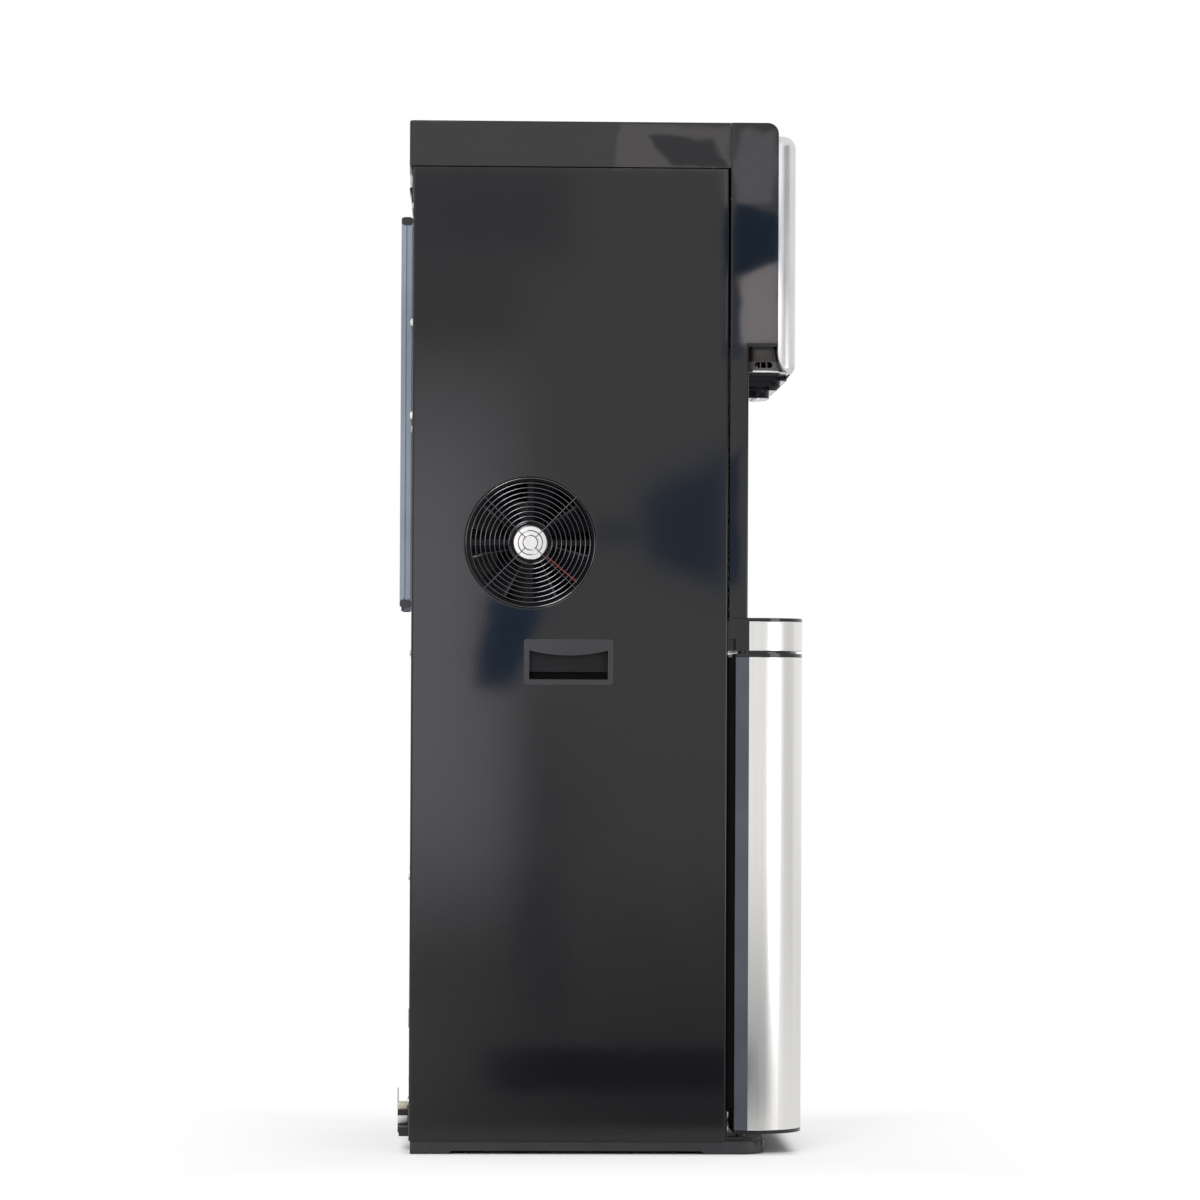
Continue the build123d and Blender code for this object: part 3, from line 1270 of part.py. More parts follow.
with BuildPart() as tank_jacket:
    with Locations((cold_tank_x, cold_y, tank_shelf_top)):
        Box(2 * jacket_radius, 2 * jacket_radius, jacket_height, align=MIDDLE_MIDDLE_LOW)
    chamfer(tank_jacket.edges().filter_by(Axis.Z), JACKET_WALL)
    with BuildSketch(Plane.XY.offset(tank_shelf_top + JACKET_WALL)):
        with Locations((cold_tank_x, cold_y)):
            RegularPolygon(jacket_radius - JACKET_WALL, CAN_SIDES)
    extrude(amount=jacket_height, mode=Mode.SUBTRACT)

with BuildPart() as cold_tank:
    with BuildSketch(Plane.XY.offset(tank_shelf_top + JACKET_WALL)):
        with Locations((cold_tank_x, cold_y)):
            RegularPolygon(jacket_radius - JACKET_WALL - FIT, CAN_SIDES)
    extrude(amount=jacket_height - JACKET_WALL)
    with BuildSketch(Plane.XY.offset(jacket_top)):
        with Locations((cold_tank_x, cold_y)):
            RegularPolygon(jacket_radius - FIT, CAN_SIDES)
    extrude(amount=TANK_LID)
    add(tank_neck(neck_places[0]))

with BuildPart() as hot_tank:
    with BuildSketch(Plane.XY.offset(tank_shelf_top)):
        with Locations((hot_tank_x, hot_y)):
            RegularPolygon(hot_tank_radius, CAN_SIDES)
    extrude(amount=hot_tank_height)
    chamfer(hot_tank.edges().group_by(Axis.Z)[-1], hot_tank_radius / 3)
    add(tank_neck(neck_places[1]))

# Pump that lifts water from the bottle, and the three valves above the nozzle
with BuildPart() as water_pump:
    with Locations((pump_x, pump_y, deck_top)):
        Box(PUMP_WIDTH, PUMP_LENGTH / 2, PUMP_HEIGHT, align=MIDDLE_LOW_LOW)
    with BuildSketch(plane_facing_front(pump_y)):
        with Locations((pump_x, deck_top + PUMP_HEIGHT / 2)):
            RegularPolygon(PUMP_HEIGHT / 2, CAN_SIDES)
    extrude(amount=PUMP_LENGTH / 2)

valve_base = HEAD_BOTTOM + WALL
valve_y = nozzle_y + (HEAD_REACH - NOZZLE_CENTRE + VALVE_WIDTH) / 2 + FIT

with BuildPart() as dispensing_valves:
    with BuildSketch(Plane.XY.offset(valve_base)):
        with Locations((0, valve_y)):
            with GridLocations(VALVE_PITCH, 0, 3, 1):
                Rectangle(VALVE_WIDTH, VALVE_WIDTH)
    extrude(amount=VALVE_HEIGHT)
    with BuildSketch(Plane.XY.offset(valve_base + VALVE_HEIGHT)):
        with Locations((0, valve_y)):
            with GridLocations(VALVE_PITCH, 0, 3, 1):
                RegularPolygon(VALVE_COIL_RADIUS, CAN_SIDES // 2)
    extrude(amount=VALVE_COIL_HEIGHT)

with BuildPart() as power_box:
    with Locations((panel_inner_x, front_y + POWER_BOX_Y, power_box_level)):
        Box(
            POWER_BOX_DEPTH,
            POWER_BOX_WIDTH,
            power_box_height,
            align=(Align.MAX, Align.MIN, Align.MIN),
        )
    chamfer(power_box.faces().sort_by(Axis.X)[0].edges(), WALL)

# Bottle probe: dip tube with its bottle cap, hung by its neck on a fork under the deck
probe_y = back_inner_y - PROBE_BACK_OFFSET
fork_top = shelf_bottom - HOOK_DROP
neck_bottom = fork_top - PROBE_NECK_HEIGHT
cap_top = fork_top + PROBE_CAP_HEIGHT
tube_end = neck_bottom - PROBE_TUBE_LENGTH
fork_slot = 2 * (PROBE_NECK_RADIUS + FIT)

with BuildPart() as bottle_probe:
    with BuildSketch(upright_section(PROBE_X, probe_y)):
        with BuildLine():
            Polyline(
                (PROBE_TUBE_BORE, tube_end),
                (PROBE_TUBE_RADIUS, tube_end),
                (PROBE_TUBE_RADIUS, neck_bottom - PROBE_NECK_HEIGHT),
                (PROBE_CAP_RADIUS / 2 + WALL, neck_bottom - PROBE_NECK_HEIGHT),
                (PROBE_CAP_RADIUS / 2 + WALL, neck_bottom),
                (PROBE_NECK_RADIUS, neck_bottom),
                (PROBE_NECK_RADIUS, fork_top),
                (PROBE_CAP_RADIUS, fork_top),
                (PROBE_CAP_RADIUS, cap_top),
                (PROBE_BARB_RADIUS, cap_top),
                (PROBE_BARB_RADIUS, cap_top + PROBE_BARB_HEIGHT),
                (0, cap_top + PROBE_BARB_HEIGHT),
                (0, cap_top - WALL),
                (PROBE_TUBE_BORE, cap_top - WALL),
                close=True,
            )
        make_face()
    revolve(axis=Axis((PROBE_X, probe_y, 0), (0, 0, 1)))

hook_back_y = probe_y + PROBE_CAP_RADIUS + HOOK_SHEET

with BuildPart() as probe_hook:
    with BuildSketch(Plane.XY.offset(fork_top)):
        with Locations((PROBE_X, hook_back_y + HOOK_SHEET)):
            Rectangle(
                HOOK_WIDTH,
                hook_back_y + HOOK_SHEET - probe_y + PROBE_CAP_RADIUS / 2,
                align=(Align.CENTER, Align.MAX),
            )
        with Locations((PROBE_X, probe_y)):
            Circle(fork_slot / 2, mode=Mode.SUBTRACT)
            Rectangle(fork_slot, HOOK_WIDTH, align=(Align.CENTER, Align.MAX), mode=Mode.SUBTRACT)
    extrude(amount=-HOOK_SHEET)
    with Locations((PROBE_X, hook_back_y, fork_top - HOOK_SHEET)):
        Box(HOOK_WIDTH, HOOK_SHEET, HOOK_DROP + HOOK_SHEET, align=MIDDLE_LOW_LOW)

# Rear switches: bezel with a can through the back panel, and three rockers
bezel_face_y = back_outer_y + SWITCH_BEZEL
pivot_y = bezel_face_y - SWITCH_BEZEL
rocker_face = SWITCH_BEZEL + SHEET
rocker_wing = rocker_face + SHEET
rocker_wing_rise = (SWITCH_RADIUS**2 - rocker_wing**2) ** 0.5
rocker_root = -SWITCH_RADIUS / 3
rocker_root_rise = (SWITCH_RADIUS**2 - rocker_root**2) ** 0.5

with BuildPart() as switch_bezel:
    with BuildSketch(plane_facing_front(back_outer_y)):
        with Locations((0, switch_level)):
            RectangleRounded(SWITCH_BEZEL_WIDTH, SWITCH_BEZEL_HEIGHT, SWITCH_BEZEL)
    extrude(amount=-SWITCH_BEZEL)
    with BuildSketch(plane_facing_front(back_outer_y)):
        with Locations((0, switch_level)):
            Rectangle(switch_can_width, switch_can_height)
    extrude(amount=SWITCH_CAN_DEPTH)
    with BuildSketch(plane_facing_front(bezel_face_y)):
        with Locations((0, switch_level)):
            with GridLocations(SWITCH_PITCH, 0, 3, 1):
                Rectangle(SWITCH_WIDTH + 2 * SWITCH_FIT, 2 * (SWITCH_RADIUS + SWITCH_FIT))
    extrude(amount=SWITCH_BEZEL + SWITCH_CAN_DEPTH - WALL, mode=Mode.SUBTRACT)


def make_rocker(x):
    """Rocker key: a hollow-faced segment of a disc about its pivot, at one end of its throw."""
    throw = radians(-SWITCH_THROW / 2)
    tilted = Plane(
        origin=(x - SWITCH_WIDTH / 2, pivot_y, switch_level),
        x_dir=(0, cos(throw), sin(throw)),
        z_dir=(1, 0, 0),
    )
    with BuildPart() as rocker:
        with BuildSketch(tilted):
            with BuildLine():
                ThreePointArc(
                    (rocker_root, -rocker_root_rise), (0, -SWITCH_RADIUS), (rocker_wing, -rocker_wing_rise)
                )
                Polyline(
                    (rocker_wing, -rocker_wing_rise), (rocker_face, 0), (rocker_wing, rocker_wing_rise)
                )
                ThreePointArc(
                    (rocker_wing, rocker_wing_rise), (0, SWITCH_RADIUS), (rocker_root, rocker_root_rise)
                )
                Line((rocker_root, rocker_root_rise), (rocker_root, -rocker_root_rise))
            make_face()
        extrude(amount=SWITCH_WIDTH)
    return rocker


light_rocker, cold_rocker, hot_rocker = [make_rocker(step * SWITCH_PITCH) for step in (-1, 0, 1)]

# Drain outlets with their push-on caps, and the gland for the mains lead
holder_left = DRAIN_X - DRAIN_MARGIN
holder_right = DRAIN_X + DRAIN_PITCH + DRAIN_MARGIN
holder_top = DRAIN_LEVEL + DRAIN_MARGIN
holder_depth = DRAIN_FLANGE + DRAIN_REACH + DRAIN_CAP_WALL

with BuildPart() as drain_outlets:
    with Locations((holder_left, back_outer_y, DRAIN_HOLDER_BOTTOM)):
        Box(
            holder_right - holder_left,
            DRAIN_FLANGE,
            holder_top - DRAIN_HOLDER_BOTTOM,
            align=(Align.MIN, Align.MIN, Align.MIN),
        )
        Box(
            holder_right - holder_left,
            holder_depth - DRAIN_CAP_WALL,
            DRAIN_FOOT - FIT,
            align=(Align.MIN, Align.MIN, Align.MIN),
        )
    with Locations((holder_right, back_outer_y, DRAIN_HOLDER_BOTTOM)):
        Box(
            DRAIN_CHEEK,
            holder_depth,
            DRAIN_LEVEL - DRAIN_CAP_RADIUS - DRAIN_HOLDER_BOTTOM,
            align=(Align.MIN, Align.MIN, Align.MIN),
        )
    with BuildSketch(plane_facing_front(back_outer_y + DRAIN_FLANGE + DRAIN_REACH)):
        with Locations(*drain_places):
            RegularPolygon(DRAIN_RADIUS, DRAIN_SIDES)
    extrude(amount=DRAIN_FLANGE + 2 * DRAIN_REACH)
    with BuildSketch(plane_facing_front(back_outer_y + DRAIN_FLANGE + DRAIN_REACH)):
        with Locations(*drain_places):
            RegularPolygon(DRAIN_BORE, DRAIN_SIDES)
    extrude(amount=DRAIN_FLANGE + 2 * DRAIN_REACH, mode=Mode.SUBTRACT)


def make_drain_cap(x, level):
    """Cup with a fluted rim that closes one drain outlet."""
    with BuildPart() as cap:
        with BuildSketch(plane_facing_front(back_outer_y + DRAIN_FLANGE + FIT)):
            with Locations((x, level)):
                RegularPolygon(DRAIN_CAP_RADIUS, DRAIN_SIDES)
        extrude(amount=-DRAIN_REACH - DRAIN_CAP_WALL)
        with BuildSketch(plane_facing_front(back_outer_y + DRAIN_FLANGE + FIT)):
            with Locations((x, level)):
                RegularPolygon(DRAIN_RADIUS + FIT, DRAIN_SIDES)
        extrude(amount=-DRAIN_REACH, mode=Mode.SUBTRACT)
    return cap


hot_drain_cap, cold_drain_cap = [make_drain_cap(x, level) for x, level in drain_places]

with BuildPart() as cord_gland:
    with BuildSketch(plane_facing_front(back_outer_y)):
        with Locations((GLAND_X, GLAND_LEVEL)):
            RegularPolygon(GLAND_RADIUS + WALL, 6)
            RegularPolygon(GLAND_BORE, DRAIN_SIDES, mode=Mode.SUBTRACT)
    extrude(amount=-WALL)
    with BuildSketch(plane_facing_front(back_outer_y)):
        with Locations((GLAND_X, GLAND_LEVEL)):
            RegularPolygon(GLAND_RADIUS, DRAIN_SIDES)
            RegularPolygon(GLAND_BORE, DRAIN_SIDES, mode=Mode.SUBTRACT)
    extrude(amount=GLAND_REACH)

# Hexagon heads of the cabinet screws on the rear folds and on the hinge bracket
panel_height = panel_top - PLINTH_HEIGHT
rear_screw_levels = [PLINTH_HEIGHT + panel_height * part for part in REAR_SCREW_STEPS]
hinge_screw_levels = [HINGE_SEAT + HINGE_LEAF_HEIGHT * part for part in HINGE_SCREW_STEPS]

with BuildPart() as cabinet_screws:
    with BuildSketch(plane_facing_front(back_y)):
        with Locations(*[(side * lug_x, level) for side in (-1, 1) for level in rear_screw_levels]):
            RegularPolygon(SCREW_ACROSS, 6)
    extrude(amount=-SCREW_HEIGHT)
    with BuildSketch(plane_facing_front(front_y - HINGE_PLATE)):
        with Locations(*[(leaf_x, level) for level in hinge_screw_levels]):
            RegularPolygon(SCREW_ACROSS, 6)
    extrude(amount=SCREW_HEIGHT)

pieces = {
    "base_plinth": base_plinth,
    "left_side_panel": left_side_panel,
    "right_side_panel": right_side_panel,
    "back_panel": back_panel,
    "top_cover": top_cover,
    "front_frame": front_frame,
    "head_front_cover": head_front_cover,
    "control_panel": control_panel,
    "hot_button": hot_button,
    "room_button": room_button,
    "cold_button": cold_button,
    "indicator_lenses": indicator_lenses,
    "control_board": control_board,
    "nozzle_hood": nozzle_hood,
    "hood_trim": hood_trim,
    "nozzle_block": nozzle_block,
    "water_spouts": water_spouts,
    "alcove_liner": alcove_liner,
    "drip_shelf": drip_shelf,
    "shelf_band": shelf_band,
    "drip_tray": drip_tray,
    "drip_grille": drip_grille,
    "door_frame": door_frame,
    "door_skin": door_skin,
    "door_caps": door_caps,
    "door_strike": door_strike,
    "catch_magnet": catch_magnet,
    "door_seals": door_seals,
    "hinge_bracket": hinge_bracket,
    "hinge_pins": hinge_pins,
    "handle_cup_left": handle_cup_left,
    "handle_cup_right": handle_cup_right,
    "fan_guard": fan_guard,
    "fan_frame": fan_frame,
    "fan_rotor": fan_rotor,
    "fan_lead": fan_lead,
    "condenser_tube": condenser_tube,
    "condenser_wires": condenser_wires,
    "condenser_rails": condenser_rails,
    "bay_deck": bay_deck,
    "tank_shelf": tank_shelf,
    "compressor": compressor,
    "compressor_grommets": compressor_grommets,
    "tank_jacket": tank_jacket,
    "cold_tank": cold_tank,
    "hot_tank": hot_tank,
    "water_pump": water_pump,
    "dispensing_valves": dispensing_valves,
    "power_box": power_box,
    "bottle_probe": bottle_probe,
    "probe_hook": probe_hook,
    "switch_bezel": switch_bezel,
    "hot_rocker": hot_rocker,
    "cold_rocker": cold_rocker,
    "light_rocker": light_rocker,
    "drain_outlets": drain_outlets,
    "hot_drain_cap": hot_drain_cap,
    "cold_drain_cap": cold_drain_cap,
    "cord_gland": cord_gland,
    "cabinet_screws": cabinet_screws,
}

os.makedirs("parts", exist_ok=True)
for name, piece in pieces.items():
    piece.part.label = name
    export_step(piece.part, f"parts/{name}.step")
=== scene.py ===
import json
import math

import bmesh
import bpy
import numpy as np
from mathutils import Matrix


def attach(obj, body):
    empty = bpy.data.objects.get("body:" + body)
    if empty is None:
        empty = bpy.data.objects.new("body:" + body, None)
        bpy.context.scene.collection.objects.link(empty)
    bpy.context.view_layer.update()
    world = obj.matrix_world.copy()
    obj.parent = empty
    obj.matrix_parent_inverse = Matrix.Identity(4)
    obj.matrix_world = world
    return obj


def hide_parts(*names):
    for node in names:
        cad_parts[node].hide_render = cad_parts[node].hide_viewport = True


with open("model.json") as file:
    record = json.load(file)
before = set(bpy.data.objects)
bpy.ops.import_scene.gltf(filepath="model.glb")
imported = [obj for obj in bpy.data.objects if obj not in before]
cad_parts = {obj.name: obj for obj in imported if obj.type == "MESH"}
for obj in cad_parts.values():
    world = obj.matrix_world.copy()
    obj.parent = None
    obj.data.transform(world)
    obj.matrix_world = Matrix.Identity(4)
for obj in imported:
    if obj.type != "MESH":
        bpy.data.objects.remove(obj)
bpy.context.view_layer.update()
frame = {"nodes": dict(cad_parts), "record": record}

MM = 0.001
NODES = frame["nodes"]
RECORD = frame["record"]
SLOT_OF = {part["node"]: part["material_slot"] for part in RECORD["subparts"]}
BODY_OF = {node: body for body, nodes in RECORD["behaviour"]["bodies"].items() for node in nodes}

# Places on the cabinet, in millimetres
FRONT_Y = -125.41
BACK_Y = 193.59
PANEL_X = -155.0
PANEL_INSIDE = 154.0
FAN_Y = 74.09
FAN_Z = 614.6
FAN_FACE_X = -152.5

# Directions that profiles are turned about or carried along
RIGHT = (1, 0, 0)
TO_FAN_SIDE = (-1, 0, 0)
TO_BACK = (0, 1, 0)
TO_FRONT = (0, -1, 0)
UP = (0, 0, 1)

# Shapes: arrays of points in millimetres, put into meshes in metres, as the limits for merging are
MERGE = 1e-6
SOLID_MERGE = 2e-6
IN_LINE = 1e-5
AT_WALL = 2e-5
FLAT_ANGLE = math.radians(0.4)
HARD_ANGLE = math.radians(32.0)
EDGE_STEPS = 2
FOLD_STEPS = 4
SHEET_EDGE = 0.3
BOX_EDGE = 0.3
BOX_CORNER_STEPS = 6


def grid_faces(rows, columns, wrap_rows, start=0):
    """Quads between neighbouring points of a rows by columns grid; the last column joins the first, and so
    does the last row if rows are wrapped."""
    r = np.arange(rows if wrap_rows else rows - 1)
    c = np.arange(columns)
    r, c = np.meshgrid(r, c, indexing="ij")
    r2, c2 = (r + 1) % rows, (c + 1) % columns
    quads = np.stack([r * columns + c, r * columns + c2, r2 * columns + c2, r2 * columns + c], -1)
    return (quads.reshape(-1, 4) + start).tolist()


def tube(points, closed=False):
    """A run of closed sections: rows follow the path, columns go round, and an open run gets end caps."""
    return {"points": np.asarray(points, float), "loop": closed}


def unit(vector):
    """The vector divided by its length."""
    vector = np.asarray(vector, float)
    return vector / np.linalg.norm(vector, axis=-1, keepdims=True)


def ring_profile(radius, count):
    """Circle of that radius: (r cos t, r sin t) for count even steps of t."""
    t = np.linspace(0, 2 * np.pi, count, endpoint=False)
    return np.stack([radius * np.cos(t), radius * np.sin(t)], -1)


def carried(profile, path, up, closed=False):
    """Profile points (a, b) set at each path point P as P + a * side + b * lift: side is the path's direction
    x up, and lift is side x that direction."""
    path = np.asarray(path, float)
    if closed:
        along = unit(np.roll(path, -1, 0) - np.roll(path, 1, 0))
    else:
        along = unit(np.gradient(path, axis=0))
    side = unit(np.cross(along, np.asarray(up, float)))
    lift = np.cross(side, along)
    points = path[:, None] + profile[None, :, :1] * side[:, None] + profile[None, :, 1:] * lift[:, None]
    return tube(points, closed)


def turned(profile, centre, axis, steps, closed=False, flutes=0):
    """Profile of (radius, height, flute depth) turned about an axis: centre + h * axis + (r + a cos n t) times
    (cos t * u + sin t * v). For an axis along X, u is Y, and else X. A closed profile is a hollow ring."""
    u = np.array(RIGHT if axis[0] == 0 else TO_BACK, float)
    axis = unit(axis)
    v = np.cross(axis, u)
    profile = np.asarray(profile, float)
    t = np.linspace(0, 2 * np.pi, steps, endpoint=False)
    spoke = np.cos(t)[:, None] * u + np.sin(t)[:, None] * v
    radius = profile[:, :1] * np.ones_like(t)
    if flutes:
        radius = radius + profile[:, 2:3] * np.cos(flutes * t)
    points = np.asarray(centre, float) + profile[:, None, 1:2] * axis + radius[:, :, None] * spoke[None]
    return tube(points, closed)


def rounded_box(low, high, radius):
    """Upright box from corner low to corner high, seen along X: each outline corner is an arc of the radius
    in (y, z), and the outline shrinks by the box edge at both ends."""
    low, high = np.asarray(low, float), np.asarray(high, float)
    t = np.linspace(0, np.pi / 2, BOX_CORNER_STEPS)
    edge = BOX_EDGE
    rows = []
    for x, inset in ((low[0], edge), (low[0] + edge, 0.0), (high[0] - edge, 0.0), (high[0], edge)):
        outline = []
        for corner, (side_y, side_z) in enumerate(((1, 1), (-1, 1), (-1, -1), (1, -1))):
            turn = t + corner * np.pi / 2
            centre_y = (high[1] if side_y > 0 else low[1]) - side_y * radius
            centre_z = (high[2] if side_z > 0 else low[2]) - side_z * radius
            reach = radius - inset
            outline.append(np.stack([np.full_like(t, x), centre_y + reach * np.cos(turn),
                                     centre_z + reach * np.sin(turn)], -1))
        rows.append(np.concatenate(outline))
    return tube(np.array(rows))


def bowed_section(half, rear, front, corner, crown, wall, inset):
    """Plan of a bowed sheet: straight sides at +-half, corner arcs, and a front arc of radius
    (half^2 + crown^2) / (2 crown); the inner line has the same centres and radii less the wall."""
    big = (half**2 + crown**2) / (2 * crown)
    middle = front - crown + big
    corner_x = half - corner
    corner_y = middle - math.sqrt((big - corner) ** 2 - corner_x**2)
    touch = math.atan2(corner_y - middle, corner_x)

    def line(less):
        """Half plan at a distance inside the outer face, and its mirror image."""
        bend = np.linspace(0, touch, 20)
        sweep = np.linspace(touch, -np.pi / 2, 30)[1:]
        small = corner - less
        side = np.array([[half - less, rear]])
        arc = np.stack([corner_x + small * np.cos(bend), corner_y + small * np.sin(bend)], -1)
        face = np.stack([(big - less) * np.cos(sweep), middle + (big - less) * np.sin(sweep)], -1)
        right = np.concatenate([side, arc, face])
        left = right[::-1][1:] * (-1, 1)
        return np.concatenate([right, left])

    return np.concatenate([line(inset), line(wall - inset)[::-1]])


def bowed_sheet(low, high, **plan):
    """The bowed plan carried up Z, thinned at both ends so that the sheet's edges are rounded."""
    edge = SHEET_EDGE
    rows = []
    for z, inset in ((low, edge), (low + 0.3 * edge, 0.3 * edge), (low + edge, 0), (low + 2 * edge, 0),
                     (high - 2 * edge, 0), (high - edge, 0), (high - 0.3 * edge, 0.3 * edge), (high, edge)):
        outline = bowed_section(**plan, inset=inset)
        rows.append(np.column_stack([outline, np.full(len(outline), z)]))
    return tube(np.array(rows))


def finish_mesh(mesh, sharp):
    """Merges doubles, turns faces outwards and keeps only edges steeper than the sharp angle hard."""
    work = bmesh.new()
    work.from_mesh(mesh)
    bmesh.ops.remove_doubles(work, verts=work.verts, dist=MERGE)
    bmesh.ops.recalc_face_normals(work, faces=work.faces)
    work.to_mesh(mesh)
    work.free()
    mesh.shade_smooth()
    mesh.set_sharp_from_angle(angle=math.radians(sharp))


def piece(name, shapes, body, slot, stands_for=(), sharp=35.0, finish=None):
    """One named object made of the given runs, on a body, finished as its slot or the finish says."""
    points, faces = [], []
    count = 0
    for shape in shapes:
        rows, columns = shape["points"].shape[:2]
        faces += grid_faces(rows, columns, shape["loop"], count)
        if not shape["loop"]:
            faces.append(list(range(count, count + columns)))
            faces.append(list(range(count + (rows - 1) * columns, count + rows * columns)))
        points.append(shape["points"].reshape(-1, 3))
        count += rows * columns
    mesh = bpy.data.meshes.new(name)
    mesh.from_pydata((np.concatenate(points) * MM).tolist(), [], faces)
    finish_mesh(mesh, sharp)
    return place(name, mesh, body, slot, stands_for, finish)


def stand_in(name, shapes, node, **others):
    """A piece in the place of a node, with that node's body and slot."""
    return piece(name, shapes, BODY_OF[node], SLOT_OF[node], (node,), **others)


def place(name, mesh, body, slot, stands_for=(), finish=None):
    """Object at the origin for a mesh that holds its own place."""
    made = bpy.data.objects.new(name, mesh)
    bpy.context.scene.collection.objects.link(made)
    made.data.materials.append(FINISHES[finish or slot])
    if stands_for:
        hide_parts(*stands_for)
    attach(made, body)
    return made


def weigh_edges(work, edge, fold):
    """Bevel weights: upright edges at the outer corners get all of fold mm, and other hard edges edge mm."""
    weights = work.edges.layers.float.new("bevel_weight_edge")
    spots = np.array([vertex.co for vertex in work.verts])
    outer = np.abs(spots[:, 0]).max() - IN_LINE
    front, rear = spots[:, 1].min() + IN_LINE, spots[:, 1].max() - IN_LINE
    for line in work.edges:
        a, b = line.verts[0].co, line.verts[1].co
        upright = abs(a.x - b.x) + abs(a.y - b.y) < MERGE and len(line.link_faces) == 2
        if upright and abs(a.x) > outer and not front < a.y < rear:
            line[weights] = 1.0
        elif len(line.link_faces) == 2 and line.calc_face_angle(0.0) > HARD_ANGLE:
            line[weights] = edge / fold


def softened(node, edge, finish=None, fold=None):
    """The node's own solid with its corners merged, flat faces joined and every hard edge rounded by edge mm;
    the outer corners of a folded piece are rounded by fold mm."""
    source = NODES[node].data
    points = np.empty(len(source.vertices) * 3)
    source.vertices.foreach_get("co", points)
    corners = np.empty(len(source.loops), dtype=np.int64)
    source.loops.foreach_get("vertex_index", corners)
    mesh = bpy.data.meshes.new(node + "_body")
    mesh.from_pydata(points.reshape(-1, 3).tolist(), [], corners.reshape(-1, 3).tolist())
    work = bmesh.new()
    work.from_mesh(mesh)
    bmesh.ops.remove_doubles(work, verts=work.verts, dist=SOLID_MERGE)
    bmesh.ops.dissolve_limit(work, angle_limit=FLAT_ANGLE, verts=work.verts, edges=work.edges)
    if fold:
        weigh_edges(work, edge, fold)
    work.to_mesh(mesh)
    work.free()
    mesh.shade_smooth()
    mesh.set_sharp_from_angle(angle=HARD_ANGLE)
    made = place(node + "_body", mesh, BODY_OF[node], SLOT_OF[node], (node,), finish)
    bevel = made.modifiers.new("rounded_edges", "BEVEL")
    bevel.width = (fold or edge) * MM
    bevel.segments = FOLD_STEPS if fold else EDGE_STEPS
    bevel.limit_method = "WEIGHT" if fold else "ANGLE"
    bevel.angle_limit = HARD_ANGLE
    bevel.use_clamp_overlap = True
    bevel.harden_normals = True
    return made


def finish_below(made, level, finish):
    """Cuts a piece at a level, in mm, and gives the upright faces under it another finish."""
    steepest = 0.7
    work = bmesh.new()
    work.from_mesh(made.data)
    everything = work.verts[:] + work.edges[:] + work.faces[:]
    bmesh.ops.bisect_plane(work, geom=everything, plane_co=(0, 0, level * MM), plane_no=UP)
    for face in work.faces:
        if face.calc_center_median().z < level * MM and abs(face.normal.z) < steepest:
            face.material_index = 1
    work.to_mesh(made.data)
    work.free()
    made.data.materials.append(FINISHES[finish])


def finish_faces(made, finish, chosen):
    """Gives another finish to the faces that a test picks from their centres, in mm, and normals."""
    made.data.materials.append(FINISHES[finish])
    centres = np.array([face.center for face in made.data.polygons]) / MM
    normals = np.array([face.normal for face in made.data.polygons])
    made.data.polygons.foreach_set("material_index", chosen(centres, normals).astype(np.int32))


def shift_rim(made, lift=0.0, wall=None, inward=0.0):
    """Moves the lowest rim of a piece, in mm: up, which opens the joint under it, or inward from a wall at
    x = wall, which closes the slot beside it."""
    points = np.empty(len(made.data.vertices) * 3, dtype=np.float32)
    made.data.vertices.foreach_get("co", points)
    points = points.reshape(-1, 3)
    rim = points[:, 2] < points[:, 2].min() + IN_LINE
    points[rim, 2] += lift * MM
    if wall:
        rim &= np.abs(np.abs(points[:, 0]) - wall * MM) < AT_WALL
        points[rim, 0] -= np.sign(points[rim, 0]) * inward * MM
    made.data.vertices.foreach_set("co", points.ravel())
    made.data.update()


# Finishes: shared effects as node groups, then one material for each slot or named finish
MASK_LOW = 0.3
MASK_HIGH = 0.7


def add_node(tree, kind, settings=None, **sockets):
    """Adds a node; a socket given another node's output is linked to it, any other value is set on it.
    Sockets go by name, or by number as i0, i1 and so on."""
    made = tree.nodes.new(kind)
    for name, value in (settings or {}).items():
        setattr(made, name, value)
    for key, value in sockets.items():
        numbered = key[0] == "i" and key[1:].isdigit()
        socket = made.inputs[int(key[1:]) if numbered else key]
        if isinstance(value, bpy.types.NodeSocket):
            tree.links.new(value, socket)
        else:
            socket.default_value = value
    return made


def maths(tree, operation, *values):
    """Result of an operation on numbers or other nodes' outputs."""
    sockets = {f"i{index}": value for index, value in enumerate(values)}
    return add_node(tree, "ShaderNodeMath", {"operation": operation}, **sockets).outputs[0]


def ranged(tree, value, start, end, low, high, ease="LINEAR"):
    """Value that goes from low to high while the given one goes from start to end."""
    settings = {"interpolation_type": ease}
    made = add_node(tree, "ShaderNodeMapRange", settings, Value=value, i1=start, i2=end, i3=low, i4=high)
    return made.outputs[0]


def noise(tree, place_at, scale, detail, **others):
    """Noise mask at a place."""
    made = add_node(tree, "ShaderNodeTexNoise", Vector=place_at, Scale=scale, Detail=detail, **others)
    return made.outputs["Fac"]


def blend(tree, share, first, second):
    """First value that gives way to the second with the share."""
    return add_node(tree, "ShaderNodeMix", i0=share, i2=first, i3=second).outputs[0]


def own_place(tree):
    """Object coordinates, which stay with the piece."""
    return tree.nodes.new("ShaderNodeTexCoord").outputs["Object"]


